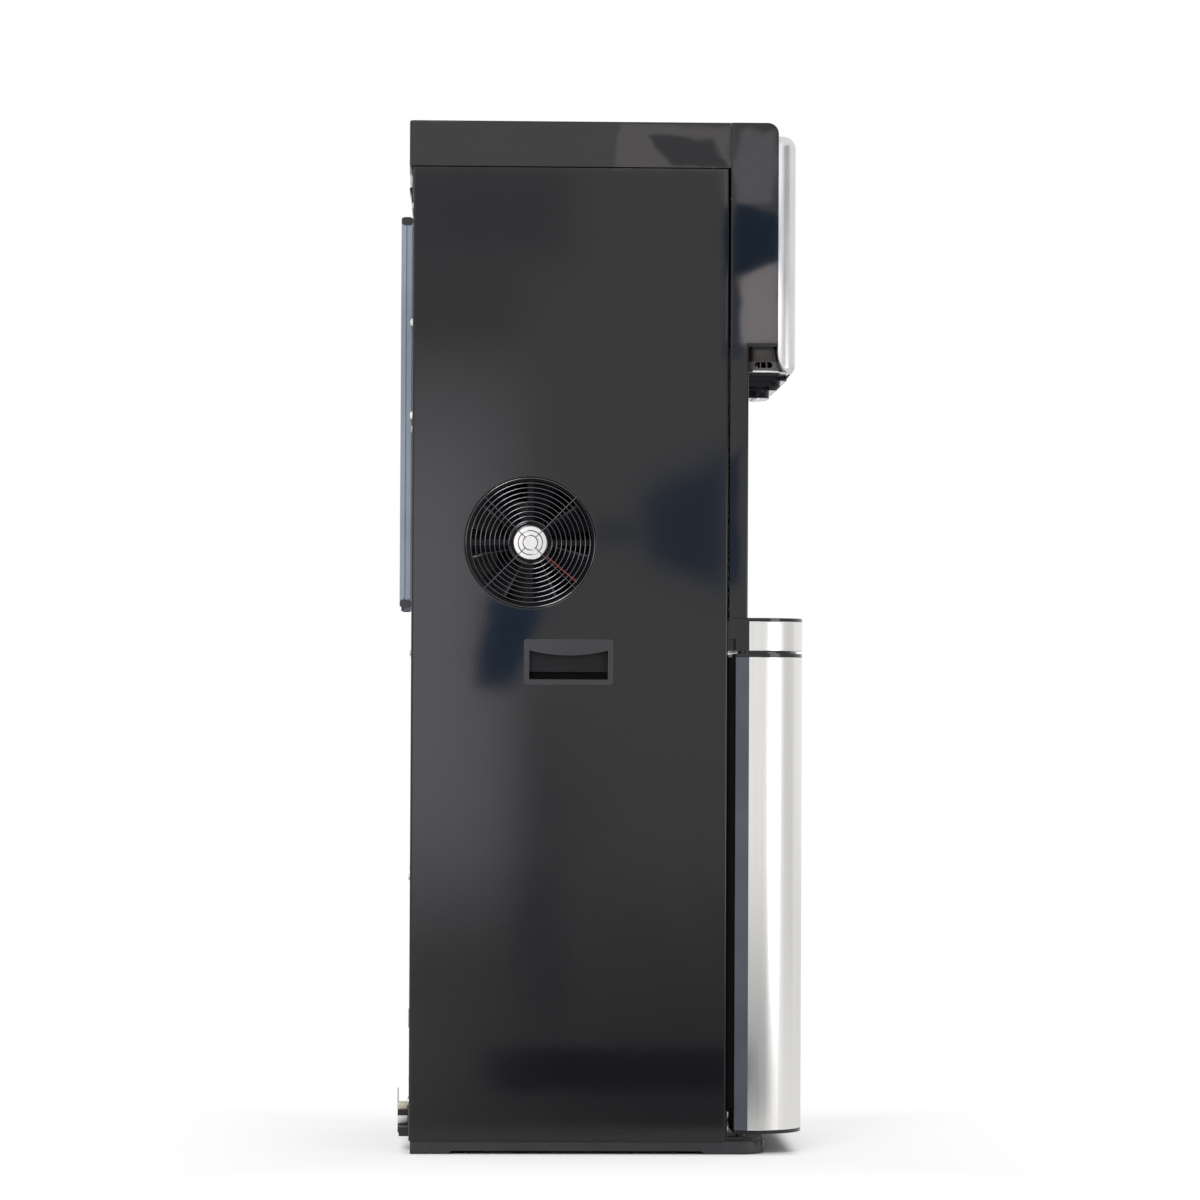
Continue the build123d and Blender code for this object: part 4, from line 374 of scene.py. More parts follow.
def new_group(name, inputs, outputs):
    """Empty shader node group with number inputs (name, value) and number outputs."""
    tree = bpy.data.node_groups.new(name, "ShaderNodeTree")
    for label, value in inputs:
        socket = tree.interface.new_socket(name=label, in_out="INPUT", socket_type="NodeSocketFloat")
        socket.default_value = value
    for label in outputs:
        tree.interface.new_socket(name=label, in_out="OUTPUT", socket_type="NodeSocketFloat")
    return tree, tree.nodes.new("NodeGroupInput").outputs, tree.nodes.new("NodeGroupOutput").inputs


def paint_peel_group():
    """Sprayed paint: fine dimples over slower swells for the height, a broad mottle for colour and gloss."""
    tree, given, out = new_group("paint_peel", [("Scale", 600.0), ("Swell", 0.5)], ["Height", "Mottle"])
    place_at = own_place(tree)
    fine = noise(tree, place_at, given["Scale"], 2.0)
    swell = noise(tree, place_at, maths(tree, "MULTIPLY", given["Scale"], 0.16), 1.0)
    tree.links.new(blend(tree, given["Swell"], fine, swell), out["Height"])
    tree.links.new(noise(tree, place_at, 9.0, 4.0, Roughness=0.6), out["Mottle"])
    return tree


def mould_grain_group():
    """Moulded plastic: spark-eroded grain for the height, and flow marks for colour and gloss."""
    tree, given, out = new_group("mould_grain", [("Scale", 1800.0), ("Flow", 14.0)], ["Height", "Mottle"])
    place_at = own_place(tree)
    pits = add_node(tree, "ShaderNodeTexVoronoi", Vector=place_at, Scale=given["Scale"]).outputs["Distance"]
    fine = noise(tree, place_at, given["Scale"], 3.0)
    tree.links.new(blend(tree, 0.5, pits, fine), out["Height"])
    tree.links.new(noise(tree, place_at, given["Flow"], 5.0, Distortion=0.8), out["Mottle"])
    return tree


def brushed_lines_group():
    """Brushed metal: noise drawn out along Z into hairlines, with slower bands across the sheet."""
    tree, given, out = new_group("brushed_lines", [("Fine", 2600.0), ("Length", 5.0)], ["Height", "Streak"])
    place_at = own_place(tree)
    spread = add_node(tree, "ShaderNodeCombineXYZ", X=given["Fine"], Y=given["Fine"], Z=given["Length"])
    drawn = add_node(tree, "ShaderNodeMapping", Vector=place_at, Scale=spread.outputs[0])
    hair = noise(tree, drawn.outputs[0], 1.0, 3.0)
    wide = add_node(tree, "ShaderNodeMapping", Vector=place_at, Scale=(140.0, 140.0, 1.2))
    band = noise(tree, wide.outputs[0], 1.0, 2.0)
    tree.links.new(hair, out["Height"])
    tree.links.new(blend(tree, 0.35, hair, band), out["Streak"])
    return tree


def slow_waves_group():
    """Thin moulded gloss walls: long shallow waves that bend reflections."""
    tree, given, out = new_group("slow_waves", [("Scale", 9.0)], ["Height"])
    tree.links.new(noise(tree, own_place(tree), given["Scale"], 1.0, Distortion=0.4), out["Height"])
    return tree


GROUPS = {
    "paint_peel": paint_peel_group(),
    "mould_grain": mould_grain_group(),
    "brushed_lines": brushed_lines_group(),
    "slow_waves": slow_waves_group(),
}


def start_material(name, metal=0.0, shine=0.5):
    """Material with a plain Principled surface; returns it with its tree and that surface node."""
    material = bpy.data.materials.new(name)
    material.use_nodes = True
    tree = material.node_tree
    surface = tree.nodes["Principled BSDF"]
    surface.inputs["Metallic"].default_value = metal
    surface.inputs["Specular IOR Level"].default_value = shine
    return material, tree, surface


def put_group(tree, name, **values):
    """Places a shared effect in a material with its own values."""
    made = tree.nodes.new("ShaderNodeGroup")
    made.node_tree = GROUPS[name]
    for label, value in values.items():
        made.inputs[label].default_value = value
    return made.outputs


def tone(tree, surface, mask, dark, light):
    """Base colour that goes from dark to light with a mask."""
    ramp = add_node(tree, "ShaderNodeValToRGB", Fac=mask)
    for stop, position, colour in zip(ramp.color_ramp.elements, (MASK_LOW, MASK_HIGH), (dark, light)):
        stop.position = position
        stop.color = (*colour, 1.0)
    tree.links.new(ramp.outputs["Color"], surface.inputs["Base Color"])


def gloss(tree, surface, mask, low, high):
    """Roughness that goes from low to high with a mask."""
    tree.links.new(ranged(tree, mask, MASK_LOW, MASK_HIGH, low, high), surface.inputs["Roughness"])


def relief(tree, surface, *layers):
    """Normal bent by heights, each given as (height, strength, depth in mm)."""
    normal = None
    for height, strength, depth in layers:
        bump = add_node(tree, "ShaderNodeBump", Height=height, Strength=strength, Distance=depth * MM)
        if normal is not None:
            tree.links.new(normal, bump.inputs["Normal"])
        normal = bump.outputs["Normal"]
    tree.links.new(normal, surface.inputs["Normal"])


def shade(colour, factor):
    """Colour times a factor, no part over 1."""
    return tuple(min(1.0, part * factor) for part in colour)


def painted_sheet(name, colour, low=0.10, high=0.15, peel=0.10):
    """Sprayed steel sheet with orange peel."""
    material, tree, surface = start_material(name)
    paint = put_group(tree, "paint_peel", Scale=420.0, Swell=0.4)
    tone(tree, surface, paint["Mottle"], shade(colour, 0.85), shade(colour, 1.15))
    gloss(tree, surface, paint["Mottle"], low, high)
    relief(tree, surface, (paint["Height"], peel, 0.25))
    return material


def gloss_moulding(name, colour, low=0.06, high=0.12, wave=0.5, shine=0.5):
    """Polished moulding: long waves in the wall and a faint flow in the gloss."""
    material, tree, surface = start_material(name, shine=shine)
    grain = put_group(tree, "mould_grain", Scale=900.0, Flow=11.0)
    waves = put_group(tree, "slow_waves", Scale=10.0)
    tone(tree, surface, grain["Mottle"], shade(colour, 0.85), shade(colour, 1.2))
    gloss(tree, surface, grain["Mottle"], low, high)
    relief(tree, surface, (waves["Height"], wave, 6.0), (grain["Height"], 0.02, 0.1))
    return material


def satin_moulding(name, colour, low=0.34, high=0.5, grain_depth=0.22, scale=1500.0, shine=0.5, spread=0.13):
    """Moulding with a spark-eroded grain."""
    material, tree, surface = start_material(name, shine=shine)
    grain = put_group(tree, "mould_grain", Scale=scale, Flow=16.0)
    tone(tree, surface, grain["Mottle"], shade(colour, 1 - spread), shade(colour, 1 + spread))
    gloss(tree, surface, grain["Mottle"], low, high)
    relief(tree, surface, (grain["Height"], grain_depth, 0.15))
    return material


def brushed_metal(name, colour, low, high, fine=2600.0):
    """Steel brushed along Z."""
    material, tree, surface = start_material(name, metal=1.0)
    lines = put_group(tree, "brushed_lines", Fine=fine, Length=5.0)
    tone(tree, surface, lines["Streak"], shade(colour, 0.93), shade(colour, 1.05))
    gloss(tree, surface, lines["Streak"], low, high)
    relief(tree, surface, (lines["Height"], 0.06, 0.08))
    return material


def plated_metal(name, colour, low, high):
    """Plated or polished metal with a faint mottle."""
    material, tree, surface = start_material(name, metal=1.0)
    paint = put_group(tree, "paint_peel", Scale=1400.0, Swell=0.3)
    tone(tree, surface, paint["Mottle"], shade(colour, 0.9), shade(colour, 1.05))
    gloss(tree, surface, paint["Mottle"], low, high)
    relief(tree, surface, (paint["Height"], 0.05, 0.1))
    return material


def lamp_lens(name):
    """Clear moulded lens with a faint haze."""
    material, tree, surface = start_material(name)
    grain = put_group(tree, "mould_grain", Scale=1200.0, Flow=40.0)
    tone(tree, surface, grain["Mottle"], (0.82, 0.88, 0.92), (0.92, 0.96, 1.0))
    gloss(tree, surface, grain["Mottle"], 0.04, 0.12)
    surface.inputs["Transmission Weight"].default_value = 0.6
    surface.inputs["IOR"].default_value = 1.49
    return material


# Each finish: its colour, its lowest and highest roughness, and then what its maker adds
FINISHES = {
    "black_painted_steel": painted_sheet("black_painted_steel", (0.0040, 0.0038, 0.0052), 0.09, 0.14, 0.16),
    "grey_painted_steel": painted_sheet("grey_painted_steel", (0.10, 0.10, 0.105), 0.45, 0.6, 0.16),
    "gloss_black_moulding": gloss_moulding("gloss_black_moulding", (0.0045, 0.0045, 0.006), wave=0.3),
    "nozzle_black": gloss_moulding("nozzle_black", (0.004, 0.005, 0.009), 0.08, 0.14, 0.1, 0.22),
    # Hood: dark gloss moulding with a brown tint painted in as the warm alcove's reflection
    "hood_gloss_painted_warm_reflection": gloss_moulding("hood_gloss_painted_warm_reflection", (0.020, 0.014, 0.010), 0.12, 0.2, 0.1),
    # Painted light: a lighter copy of the hood's gloss, for its foot and the slot ribs
    "hood_foot_painted_light": gloss_moulding("hood_foot_painted_light", (0.085, 0.078, 0.072), 0.2, 0.3, 0.1),
    "dark_grey_moulding": satin_moulding("dark_grey_moulding", (0.026, 0.025, 0.028), 0.24, 0.34, 0.08),
    "door_frame_grey": satin_moulding("door_frame_grey", (0.060, 0.066, 0.084), 0.3, 0.4, 0.08),
    # Painted shade: a darker moulding for the inside of the grip recesses
    "grip_recess_painted_shade": satin_moulding("grip_recess_painted_shade", (0.006, 0.006, 0.007), 0.3, 0.4, 0.05, shine=0.3),
    "silver_moulding": plated_metal("silver_moulding", (0.70, 0.70, 0.71), 0.26, 0.34),
    # Painted light: a brighter silver than the cover's, for its faces turned down
    "cover_underside_painted_light": plated_metal("cover_underside_painted_light", (0.96, 0.96, 0.97), 0.36, 0.42),
    "brushed_steel": brushed_metal("brushed_steel", (0.83, 0.82, 0.805), 0.2, 0.26),
    "bright_trim": plated_metal("bright_trim", (0.84, 0.84, 0.85), 0.05, 0.12),
    "white_liner": satin_moulding("white_liner", (0.80, 0.80, 0.79), 0.28, 0.33, 0.06, spread=0.02),
    "button_moulding": satin_moulding("button_moulding", (0.55, 0.56, 0.57), 0.25, 0.32, 0.05, spread=0.03),
    "mark_red": gloss_moulding("mark_red", (0.5, 0.02, 0.02), 0.1, 0.2, 0.05),
    "mark_blue": gloss_moulding("mark_blue", (0.02, 0.09, 0.5), 0.1, 0.2, 0.05),
    "lamp_lens": lamp_lens("lamp_lens"),
    "board_laminate": satin_moulding("board_laminate", (0.03, 0.16, 0.07), 0.3, 0.45, 0.1),
    "tray_moulding": satin_moulding("tray_moulding", (0.02, 0.02, 0.021)),
    "grille_steel": brushed_metal("grille_steel", (0.6, 0.6, 0.61), 0.24, 0.36, 1800.0),
    "plated_steel": plated_metal("plated_steel", (0.6, 0.6, 0.6), 0.28, 0.42),
    "motor_foil": plated_metal("motor_foil", (0.74, 0.73, 0.72), 0.14, 0.26),
    "hinge_black": painted_sheet("hinge_black", (0.010, 0.010, 0.010), 0.3, 0.4),
    "guard_wire": plated_metal("guard_wire", (0.12, 0.12, 0.125), 0.14, 0.22),
    "fan_moulding": satin_moulding("fan_moulding", (0.010, 0.010, 0.015), 0.12, 0.2, 0.03, shine=0.6),
    "frame_black": satin_moulding("frame_black", (0.003, 0.003, 0.004), 0.3, 0.4, 0.05, shine=0.1),
    "red_lead": satin_moulding("red_lead", (0.20, 0.018, 0.02), 0.35, 0.5, 0.1),
    "condenser_steel": painted_sheet("condenser_steel", (0.26, 0.30, 0.35), 0.3, 0.45, 0.08),
    "compressor_black": painted_sheet("compressor_black", (0.012, 0.012, 0.012), 0.25, 0.4, 0.15),
    "grommet_rubber": satin_moulding("grommet_rubber", (0.02, 0.02, 0.02), 0.6, 0.75, 0.3),
    "seal_foam": satin_moulding("seal_foam", (0.006, 0.006, 0.006), 0.7, 0.85, 0.4, 700.0, 0.1),
    "foam": satin_moulding("foam", (0.8, 0.78, 0.72), 0.8, 0.95, 0.6, 500.0),
    "tank_steel": brushed_metal("tank_steel", (0.68, 0.68, 0.68), 0.25, 0.4, 1500.0),
    "works_white": satin_moulding("works_white", (0.76, 0.76, 0.74)),
    "probe_white": satin_moulding("probe_white", (0.8, 0.81, 0.82), 0.3, 0.45, 0.1),
    "rocker_red": gloss_moulding("rocker_red", (0.45, 0.015, 0.015), 0.1, 0.2, 0.1),
    "rocker_green": gloss_moulding("rocker_green", (0.015, 0.22, 0.05), 0.1, 0.2, 0.1),
    "rocker_black": gloss_moulding("rocker_black", (0.015, 0.015, 0.015), 0.1, 0.2, 0.1),
    "tab_grey": satin_moulding("tab_grey", (0.3, 0.3, 0.31)),
    "cap_cream": satin_moulding("cap_cream", (0.76, 0.70, 0.56)),
    "cap_white": satin_moulding("cap_white", (0.82, 0.82, 0.81)),
    "outlet_black": satin_moulding("outlet_black", (0.02, 0.02, 0.02)),
}


# Solids that keep their form and get rounded edges: node and edge radius in millimetres
EDGES = {
    "base_plinth": 0.5, "left_side_panel": 0.2, "right_side_panel": 0.2, "back_panel": 0.2, "top_cover": 0.7,
    "front_frame": 1.2, "head_front_cover": 0.35, "control_panel": 0.3, "hot_button": 0.3, "room_button": 0.3,
    "cold_button": 0.3, "indicator_lenses": 0.3, "nozzle_hood": 0.3, "hood_trim": 0.6, "nozzle_block": 0.5,
    "alcove_liner": 0.3, "drip_shelf": 0.35, "drip_tray": 0.4, "drip_grille": 0.35, "door_frame": 0.5,
    "door_caps": 0.5, "catch_magnet": 0.4, "door_seals": 1.2, "hinge_bracket": 0.25, "hinge_pins": 0.3,
    "handle_cup_left": 0.8, "handle_cup_right": 0.8, "fan_frame": 0.4, "condenser_rails": 0.15,
    "switch_bezel": 0.4, "hot_rocker": 0.35, "cold_rocker": 0.35, "light_rocker": 0.35, "probe_hook": 0.25,
    "bay_deck": 0.2, "drain_outlets": 0.3, "cord_gland": 0.3,
}
# The hood's finish carries a brown tint painted in as a reflection
OTHER_FINISH = {
    "nozzle_hood": "hood_gloss_painted_warm_reflection", "nozzle_block": "nozzle_black", "hinge_bracket": "hinge_black",
    "hinge_pins": "hinge_black", "fan_frame": "frame_black", "door_frame": "door_frame_grey",
}
FOLD = 1.6
FOLDS = {"left_side_panel": FOLD, "right_side_panel": FOLD, "top_cover": FOLD}
bodies = {node: softened(node, edge, OTHER_FINISH.get(node), FOLDS.get(node)) for node, edge in EDGES.items()}


# Single faces and rims: a paler foot on the hood and a bright underside on the cover, both painted light, dark
# grips that are painted shade, an open and a closed joint
HOOD_FOOT_Z = 800.2
FACING_DOWN = -0.9
COVER_JOINT = 1.1
FOOT_INWARD = 1.7
# Painted light: the hood's upright faces below the foot level take the lighter copy of its finish
finish_below(bodies["nozzle_hood"], HOOD_FOOT_Z, "hood_foot_painted_light")
# Painted light: the cover's faces turned down take a brighter silver
cover = bodies["head_front_cover"]
finish_faces(cover, "cover_underside_painted_light", lambda centres, normals: normals[:, 2] < FACING_DOWN)
# Painted shade: faces inside the panel line, in the grip recesses, take the darker moulding
for node in ("handle_cup_left", "handle_cup_right"):
    finish_faces(bodies[node], "grip_recess_painted_shade", lambda centres, normals: np.abs(centres[:, 0]) < PANEL_INSIDE)
shift_rim(bodies["top_cover"], lift=COVER_JOINT)
for node in ("left_side_panel", "right_side_panel"):
    shift_rim(bodies[node], wall=PANEL_INSIDE, inward=FOOT_INWARD)


# Fan guard: round wire rings over four spokes with eyes
RINGS = 13
FIRST_RING = 7.4
RING_STEP = 4.8
RING_X = -154.14
RING_WIRE = 0.46
SPOKE_X = -153.25
SPOKE_START = 6.7
SPOKE_WIRE = 0.44
EYE_X = -152.52
EYE_SPACING = 112.0
EYE_DISTANCE = EYE_SPACING / 2**0.5
EYE = [(1.6, 0), (4.6, 0), (4.9, 0.3), (4.9, 1.1), (4.6, 1.4), (1.6, 1.4)]


def about_fan(x, radius, turn):
    """Points about the fan's axis: (x, fan y + r cos t, fan z + r sin t)."""
    y = FAN_Y + radius * np.cos(turn)
    z = FAN_Z + radius * np.sin(turn)
    return np.stack([np.full_like(y, x), y, z], -1)


def guard_ring(radius):
    """Torus: a wire circle carried round the fan axis at that radius."""
    path = about_fan(RING_X, radius, np.linspace(0, 2 * np.pi, 72, endpoint=False))
    return carried(ring_profile(RING_WIRE, 8), path, RIGHT, closed=True)


guard = [guard_ring(FIRST_RING + RING_STEP * k) for k in range(RINGS)]
for turn in np.radians([45, 135, 225, 315]):
    spoke_path = about_fan(SPOKE_X, np.linspace(SPOKE_START, EYE_DISTANCE, 12), turn)
    guard.append(carried(ring_profile(SPOKE_WIRE, 8), spoke_path, RIGHT))
    guard.append(turned(EYE, about_fan(EYE_X, EYE_DISTANCE, turn), TO_FAN_SIDE, 32))
stand_in("fan_guard_wires", guard, "fan_guard")


# Fan rotor: hub with seven blades whose sections twist from root to tip
BLADES = 7
HUB_RADIUS = 21.5
ROOT_RADIUS = 0.9 * HUB_RADIUS
TIP_RADIUS = 60.5
ROOT_CHORD = 22.0
TIP_CHORD = 35.0
ROOT_PITCH = 52.0
TIP_PITCH = 32.0
BLADE_THICKNESS = 0.9
BLADE_TAPER = 0.35
BLADE_CAMBER = 1.3
HUB_FRONT_X = -148.0
HUB_BACK_X = -116.0
HUB_LENGTH = HUB_BACK_X - HUB_FRONT_X
HUB = [
    (2.0, -4.4), (2.0, 0.0), (19.6, 0.0), (20.9, 0.5), (HUB_RADIUS, 1.8), (HUB_RADIUS, HUB_LENGTH - 1.8),
    (20.9, HUB_LENGTH - 0.5), (19.6, HUB_LENGTH),
]


def blade(turn):
    """Section points (s along the chord, h across it) at each radius R, set square to the radius and pitched:
    x = middle + s sin p + h cos p and around = s cos p - h sin p, with the reach kept so that y and z give R.
    The section is h = thickness sin t (1 - taper cos t) plus camber (1 - (2 s / chord)^2)."""
    radius = np.linspace(ROOT_RADIUS, TIP_RADIUS, 14)
    part = (radius - radius[0]) / (radius[-1] - radius[0])
    chord = ROOT_CHORD + (TIP_CHORD - ROOT_CHORD) * part
    pitch = np.radians(ROOT_PITCH + (TIP_PITCH - ROOT_PITCH) * part)
    t = np.linspace(0, 2 * np.pi, 20, endpoint=False)
    along = 0.5 * np.cos(t)
    thick = BLADE_THICKNESS * np.sin(t) * (1.0 - BLADE_TAPER * np.cos(t))
    camber = BLADE_CAMBER * (1.0 - (2 * along) ** 2)
    s = chord[:, None] * along[None]
    h = thick[None] + camber[None] * np.ones_like(s)
    x = (HUB_FRONT_X + HUB_BACK_X) / 2 + s * np.sin(pitch)[:, None] + h * np.cos(pitch)[:, None]
    around = s * np.cos(pitch)[:, None] - h * np.sin(pitch)[:, None]
    out = np.sqrt(np.maximum(radius[:, None] ** 2 - around**2, 1.0))
    y = FAN_Y + out * np.cos(turn) - around * np.sin(turn)
    z = FAN_Z + out * np.sin(turn) + around * np.cos(turn)
    return tube(np.stack([x, y, z], -1))


rotor = [blade(2 * np.pi * k / BLADES) for k in range(BLADES)]
rotor.append(turned(HUB, (HUB_FRONT_X, FAN_Y, FAN_Z), RIGHT, 56))
stand_in("fan_rotor_moulding", rotor, "fan_rotor", sharp=40)


# Fan opening: the sheet's edge is rolled inwards round the hole
ROLLED_EDGE = [
    (67.6, 0.02), (67.3, 0.10), (66.9, 0.06), (66.4, -0.16), (66.05, -0.55), (65.95, -1.0), (66.6, -1.0),
    (66.8, -0.5), (67.3, -0.2),
]
lip = turned(ROLLED_EDGE, (PANEL_X, FAN_Y, FAN_Z), TO_FAN_SIDE, 120, closed=True)
piece("fan_hole_lip", [lip], "cabinet", "black_painted_steel")


# Motor plate behind the guard: a bare metal disc with a turned step and a centre dimple
DISC = [(0.6, 0.004), (2.2, 0.008), (2.6, 0.016), (8.0, 0.016), (8.6, 0.012), (15.8, 0.012), (16.5, 0.0)]
disc = turned(DISC, (FAN_FACE_X, FAN_Y, FAN_Z), TO_FAN_SIDE, 64)
piece("motor_disc", [disc], "cabinet", "plated_steel", finish="motor_foil")


# Condenser: serpentine pipe, and straight rods over both of its faces
CONDENSER_Y = 201.65
RUNS = 9
PITCH = 47.0
LOWEST = 558.5
HIGHEST = LOWEST + (RUNS - 1) * PITCH
HALF_RUN = 128.0
BEND = 0.48 * PITCH
TUBE_RADIUS = 2.5
PIPE_RADIUS = 2.49
SAME_POINT = 0.01
RODS = 24
ROD_REACH = HALF_RUN - BEND - TUBE_RADIUS
ROD_OFF = 3.279
ROD = [(0.45, LOWEST), (0.77, LOWEST + 0.4), (0.77, HIGHEST - 0.4), (0.45, HIGHEST)]


def serpentine():
    """Runs along X, each joined to the next by two quarter bends whose points are a centre plus the bend
    radius on an arc. The last bend ends in a stub to its own side, and no run follows it."""
    t = np.linspace(0, np.pi / 2, 9)
    parts = [np.array([[HALF_RUN, LOWEST]])]
    for run in range(RUNS - 1):
        side = -1.0 if run % 2 == 0 else 1.0
        low = LOWEST + run * PITCH
        high = low + PITCH
        inner = side * (HALF_RUN - BEND)
        straight = np.linspace(-inner, inner, 24)
        parts.append(np.stack([straight, np.full_like(straight, low)], -1)[1:-1])
        parts.append(np.stack([inner + side * BEND * np.sin(t), low + BEND - BEND * np.cos(t)], -1))
        parts.append(np.stack([inner + side * BEND * np.cos(t), high - BEND + BEND * np.sin(t)], -1))
    parts.append(np.array([[side * HALF_RUN, HIGHEST]]))
    flat = np.concatenate(parts)
    keep = np.concatenate([[True], np.linalg.norm(np.diff(flat, axis=0), axis=1) > SAME_POINT])
    flat = flat[keep]
    return np.stack([flat[:, 0], np.full(len(flat), CONDENSER_Y), flat[:, 1]], -1)


pipe = carried(ring_profile(PIPE_RADIUS, 12), serpentine(), TO_BACK)
stand_in("condenser_pipe", [pipe], "condenser_tube")
rods = [
    turned(ROD, (x, CONDENSER_Y + off, 0), UP, 10)
    for off in (-ROD_OFF, ROD_OFF)
    for x in np.linspace(-ROD_REACH, ROD_REACH, RODS)
]
stand_in("condenser_rods", rods, "condenser_wires")


# Condenser rails: end caps, beads along the folds, and rivets in the flanges
RAIL_X = 132.19
RAIL_FRONT_Y = 193.9
RAIL_BACK_Y = 205.4
CAP_OFF = (0.05, 1.1)
CAP_LEVELS = ((549.0, 557.0), (936.0, 944.0))
CAP_CORNER = 3.2
RIVET_X = 136.5
RIVET_Y = BACK_Y + 0.02
RIVET_LEVELS = (743.0, 837.0)
RIVET = [(4.0, 0.0), (3.95, 0.5), (3.5, 1.4), (2.6, 2.1), (1.4, 2.5), (0.3, 2.6)]
BEAD_X = RAIL_X + 0.1
BEAD_PLACES_Y = (195.4, 201.2)
BEAD = [(0.4, 557.4), (1.3, 558.4), (1.3, 559.4), (1.3, 933.6), (1.3, 934.6), (0.4, 935.6)]
caps, rivets, beads = [], [], []
for side in (-1, 1):
    inner, outer = sorted(side * (RAIL_X + off) for off in CAP_OFF)
    for low, high in CAP_LEVELS:
        caps.append(rounded_box((inner, RAIL_FRONT_Y, low), (outer, RAIL_BACK_Y, high), CAP_CORNER))
    for level in RIVET_LEVELS:
        rivets.append(turned(RIVET, (side * RIVET_X, RIVET_Y, level), TO_BACK, 28))
    for y in BEAD_PLACES_Y:
        beads.append(turned(BEAD, (side * BEAD_X, y, 0), UP, 20))
piece("rail_end_caps", caps, "cabinet", "outlet_black")
piece("rail_beads", beads, "cabinet", "condenser_steel")
piece("rail_rivets", rivets, "cabinet", "cap_white")


# Steel fronts: the door's sheet and the band under the shelf, on one plan
FRONT_PLAN = {"half": 152.98, "rear": -147.21, "front": -202.68, "corner": 52.0, "crown": 2.97, "wall": 0.96}
DOOR_LEVELS = (24.0, 500.5)
BAND_LEVELS = (507.0, 536.5)
stand_in("door_sheet", [bowed_sheet(*DOOR_LEVELS, **FRONT_PLAN)], "door_skin", sharp=40)
stand_in("shelf_band_sheet", [bowed_sheet(*BAND_LEVELS, **FRONT_PLAN)], "shelf_band", sharp=40)


# Head cover: strips fill the slots that the hollow leaves in its rounded top and bottom edges
COVER_FRONT_Y = -195.61
COVER_BOW = 1.29
STRIP_HALF = 140.5
STRIP_PROUD = 0.03
STRIP_DEPTH = 0.8


def cover_strip(radius, level, first, last):
    """Ring sector swept across the front: at each x the section is (y(x) + R - r cos t, level + r sin t). R is
    the radius, r first just over it and then under it, and t goes from first to last, in degrees. The bow is
    y(x) = front + bow (x / 100)^2."""
    t = np.radians(np.linspace(first, last, 15))
    over, under = radius + STRIP_PROUD, radius - STRIP_DEPTH
    outer, inner = (np.stack([radius - r * np.cos(t), r * np.sin(t)], -1) for r in (over, under))
    section = np.concatenate([outer, inner[::-1]])
    x = np.linspace(-STRIP_HALF, STRIP_HALF, 57)[:, None] * np.ones(len(section))
    y = section[:, 0] + COVER_FRONT_Y + COVER_BOW * (x / 100) ** 2
    z = np.broadcast_to(section[:, 1] + level, x.shape)
    return tube(np.stack([x, y, z], -1))


top_strip = cover_strip(radius=13.0, level=1015.0, first=38, last=66)
bottom_strip = cover_strip(radius=8.0, level=795.0, first=-62, last=-8)
piece("cover_edge_strips", [top_strip, bottom_strip], "cabinet", SLOT_OF["head_front_cover"], sharp=40)


# Hood slot: two upright ribs part it into three, on both sides
SLOT_Y = FRONT_Y - 36.5
RIB_OFF = 3.1
RIB_HALF = 0.7
RIB_CORNER = 0.6
RIB_ENDS = (128.6, 130.8)
RIB_FOOT = 793.7
RIB_TOP = 799.9
ribs = []
for side in (-1, 1):
    low, high = sorted(side * end for end in RIB_ENDS)
    for y in (SLOT_Y - RIB_OFF, SLOT_Y + RIB_OFF):
        ribs.append(rounded_box((low, y - RIB_HALF, RIB_FOOT), (high, y + RIB_HALF, RIB_TOP), RIB_CORNER))
# The ribs take the lighter copy of the hood's finish, which is painted light
piece("hood_slot_ribs", ribs, "cabinet", SLOT_OF["nozzle_hood"], finish="hood_foot_painted_light")


# Marks on the hot and cold buttons: a shallow dot on each face
DOT = [(0.3, 0.10), (2.6, 0.10), (3.0, 0.0), (3.0, -0.2), (0.3, -0.2)]
for node, finish in (("hot_button", "mark_red"), ("cold_button", "mark_blue")):
    corner = np.array([tuple(spot) for spot in NODES[node].bound_box]) / MM
    middle = (corner.min(0) + corner.max(0)) / 2
    middle[1] = corner[:, 1].min()
    mark = turned(DOT, middle, TO_FRONT, 40)
    piece(node + "_mark", [mark], BODY_OF[node], SLOT_OF[node], finish=finish)


# Spouts: three thin tubes with rolled ends
SPOUT_Y = FRONT_Y - 37.0
SPOUT_PLACES_X = (-18, 0, 18)
SPOUT = [(3.0, 816.5), (4.0, 816.5), (4.0, 769.0), (3.85, 768.6), (3.5, 768.5), (3.15, 768.6), (3.0, 769.0)]
spouts = [turned(SPOUT, (x, SPOUT_Y, 0), UP, 32, closed=True) for x in SPOUT_PLACES_X]
stand_in("spout_tubes", spouts, "water_spouts")


# Bottle probe: a tube open at its foot, a collar on its hook, a fluted cap and a hose barb
PROBE_PLACE = (-92.0, 145.59, 0)
PROBE = [
    (0.5, 486.5, 0), (6.4, 486.3, 0), (6.5, 53.5, 0), (7.0, 53.0, 0), (8.5, 53.0, 0), (9.0, 53.6, 0),
    (9.0, 446.4, 0), (9.6, 447.0, 0), (16.0, 447.0, 0), (16.4, 447.6, 0), (16.4, 452.4, 0), (16.0, 453.0, 0),
    (12.0, 453.0, 0), (12.0, 459.0, 0), (26.6, 459.0, 0.1), (27.5, 460.2, 0.4), (27.5, 486.5, 0.4),
    (26.4, 488.4, 0.2), (24.0, 489.0, 0), (4.6, 489.0, 0), (3.2, 489.6, 0), (3.2, 491.0, 0), (4.0, 491.4, 0),
    (3.2, 494.4, 0), (4.0, 494.8, 0), (3.0, 498.6, 0), (2.4, 499.0, 0), (1.8, 499.0, 0), (1.8, 490.0, 0),
    (0.3, 490.0, 0),
]
stand_in("bottle_probe_body", [turned(PROBE, PROBE_PLACE, UP, 96, flutes=24)], "bottle_probe", sharp=40)


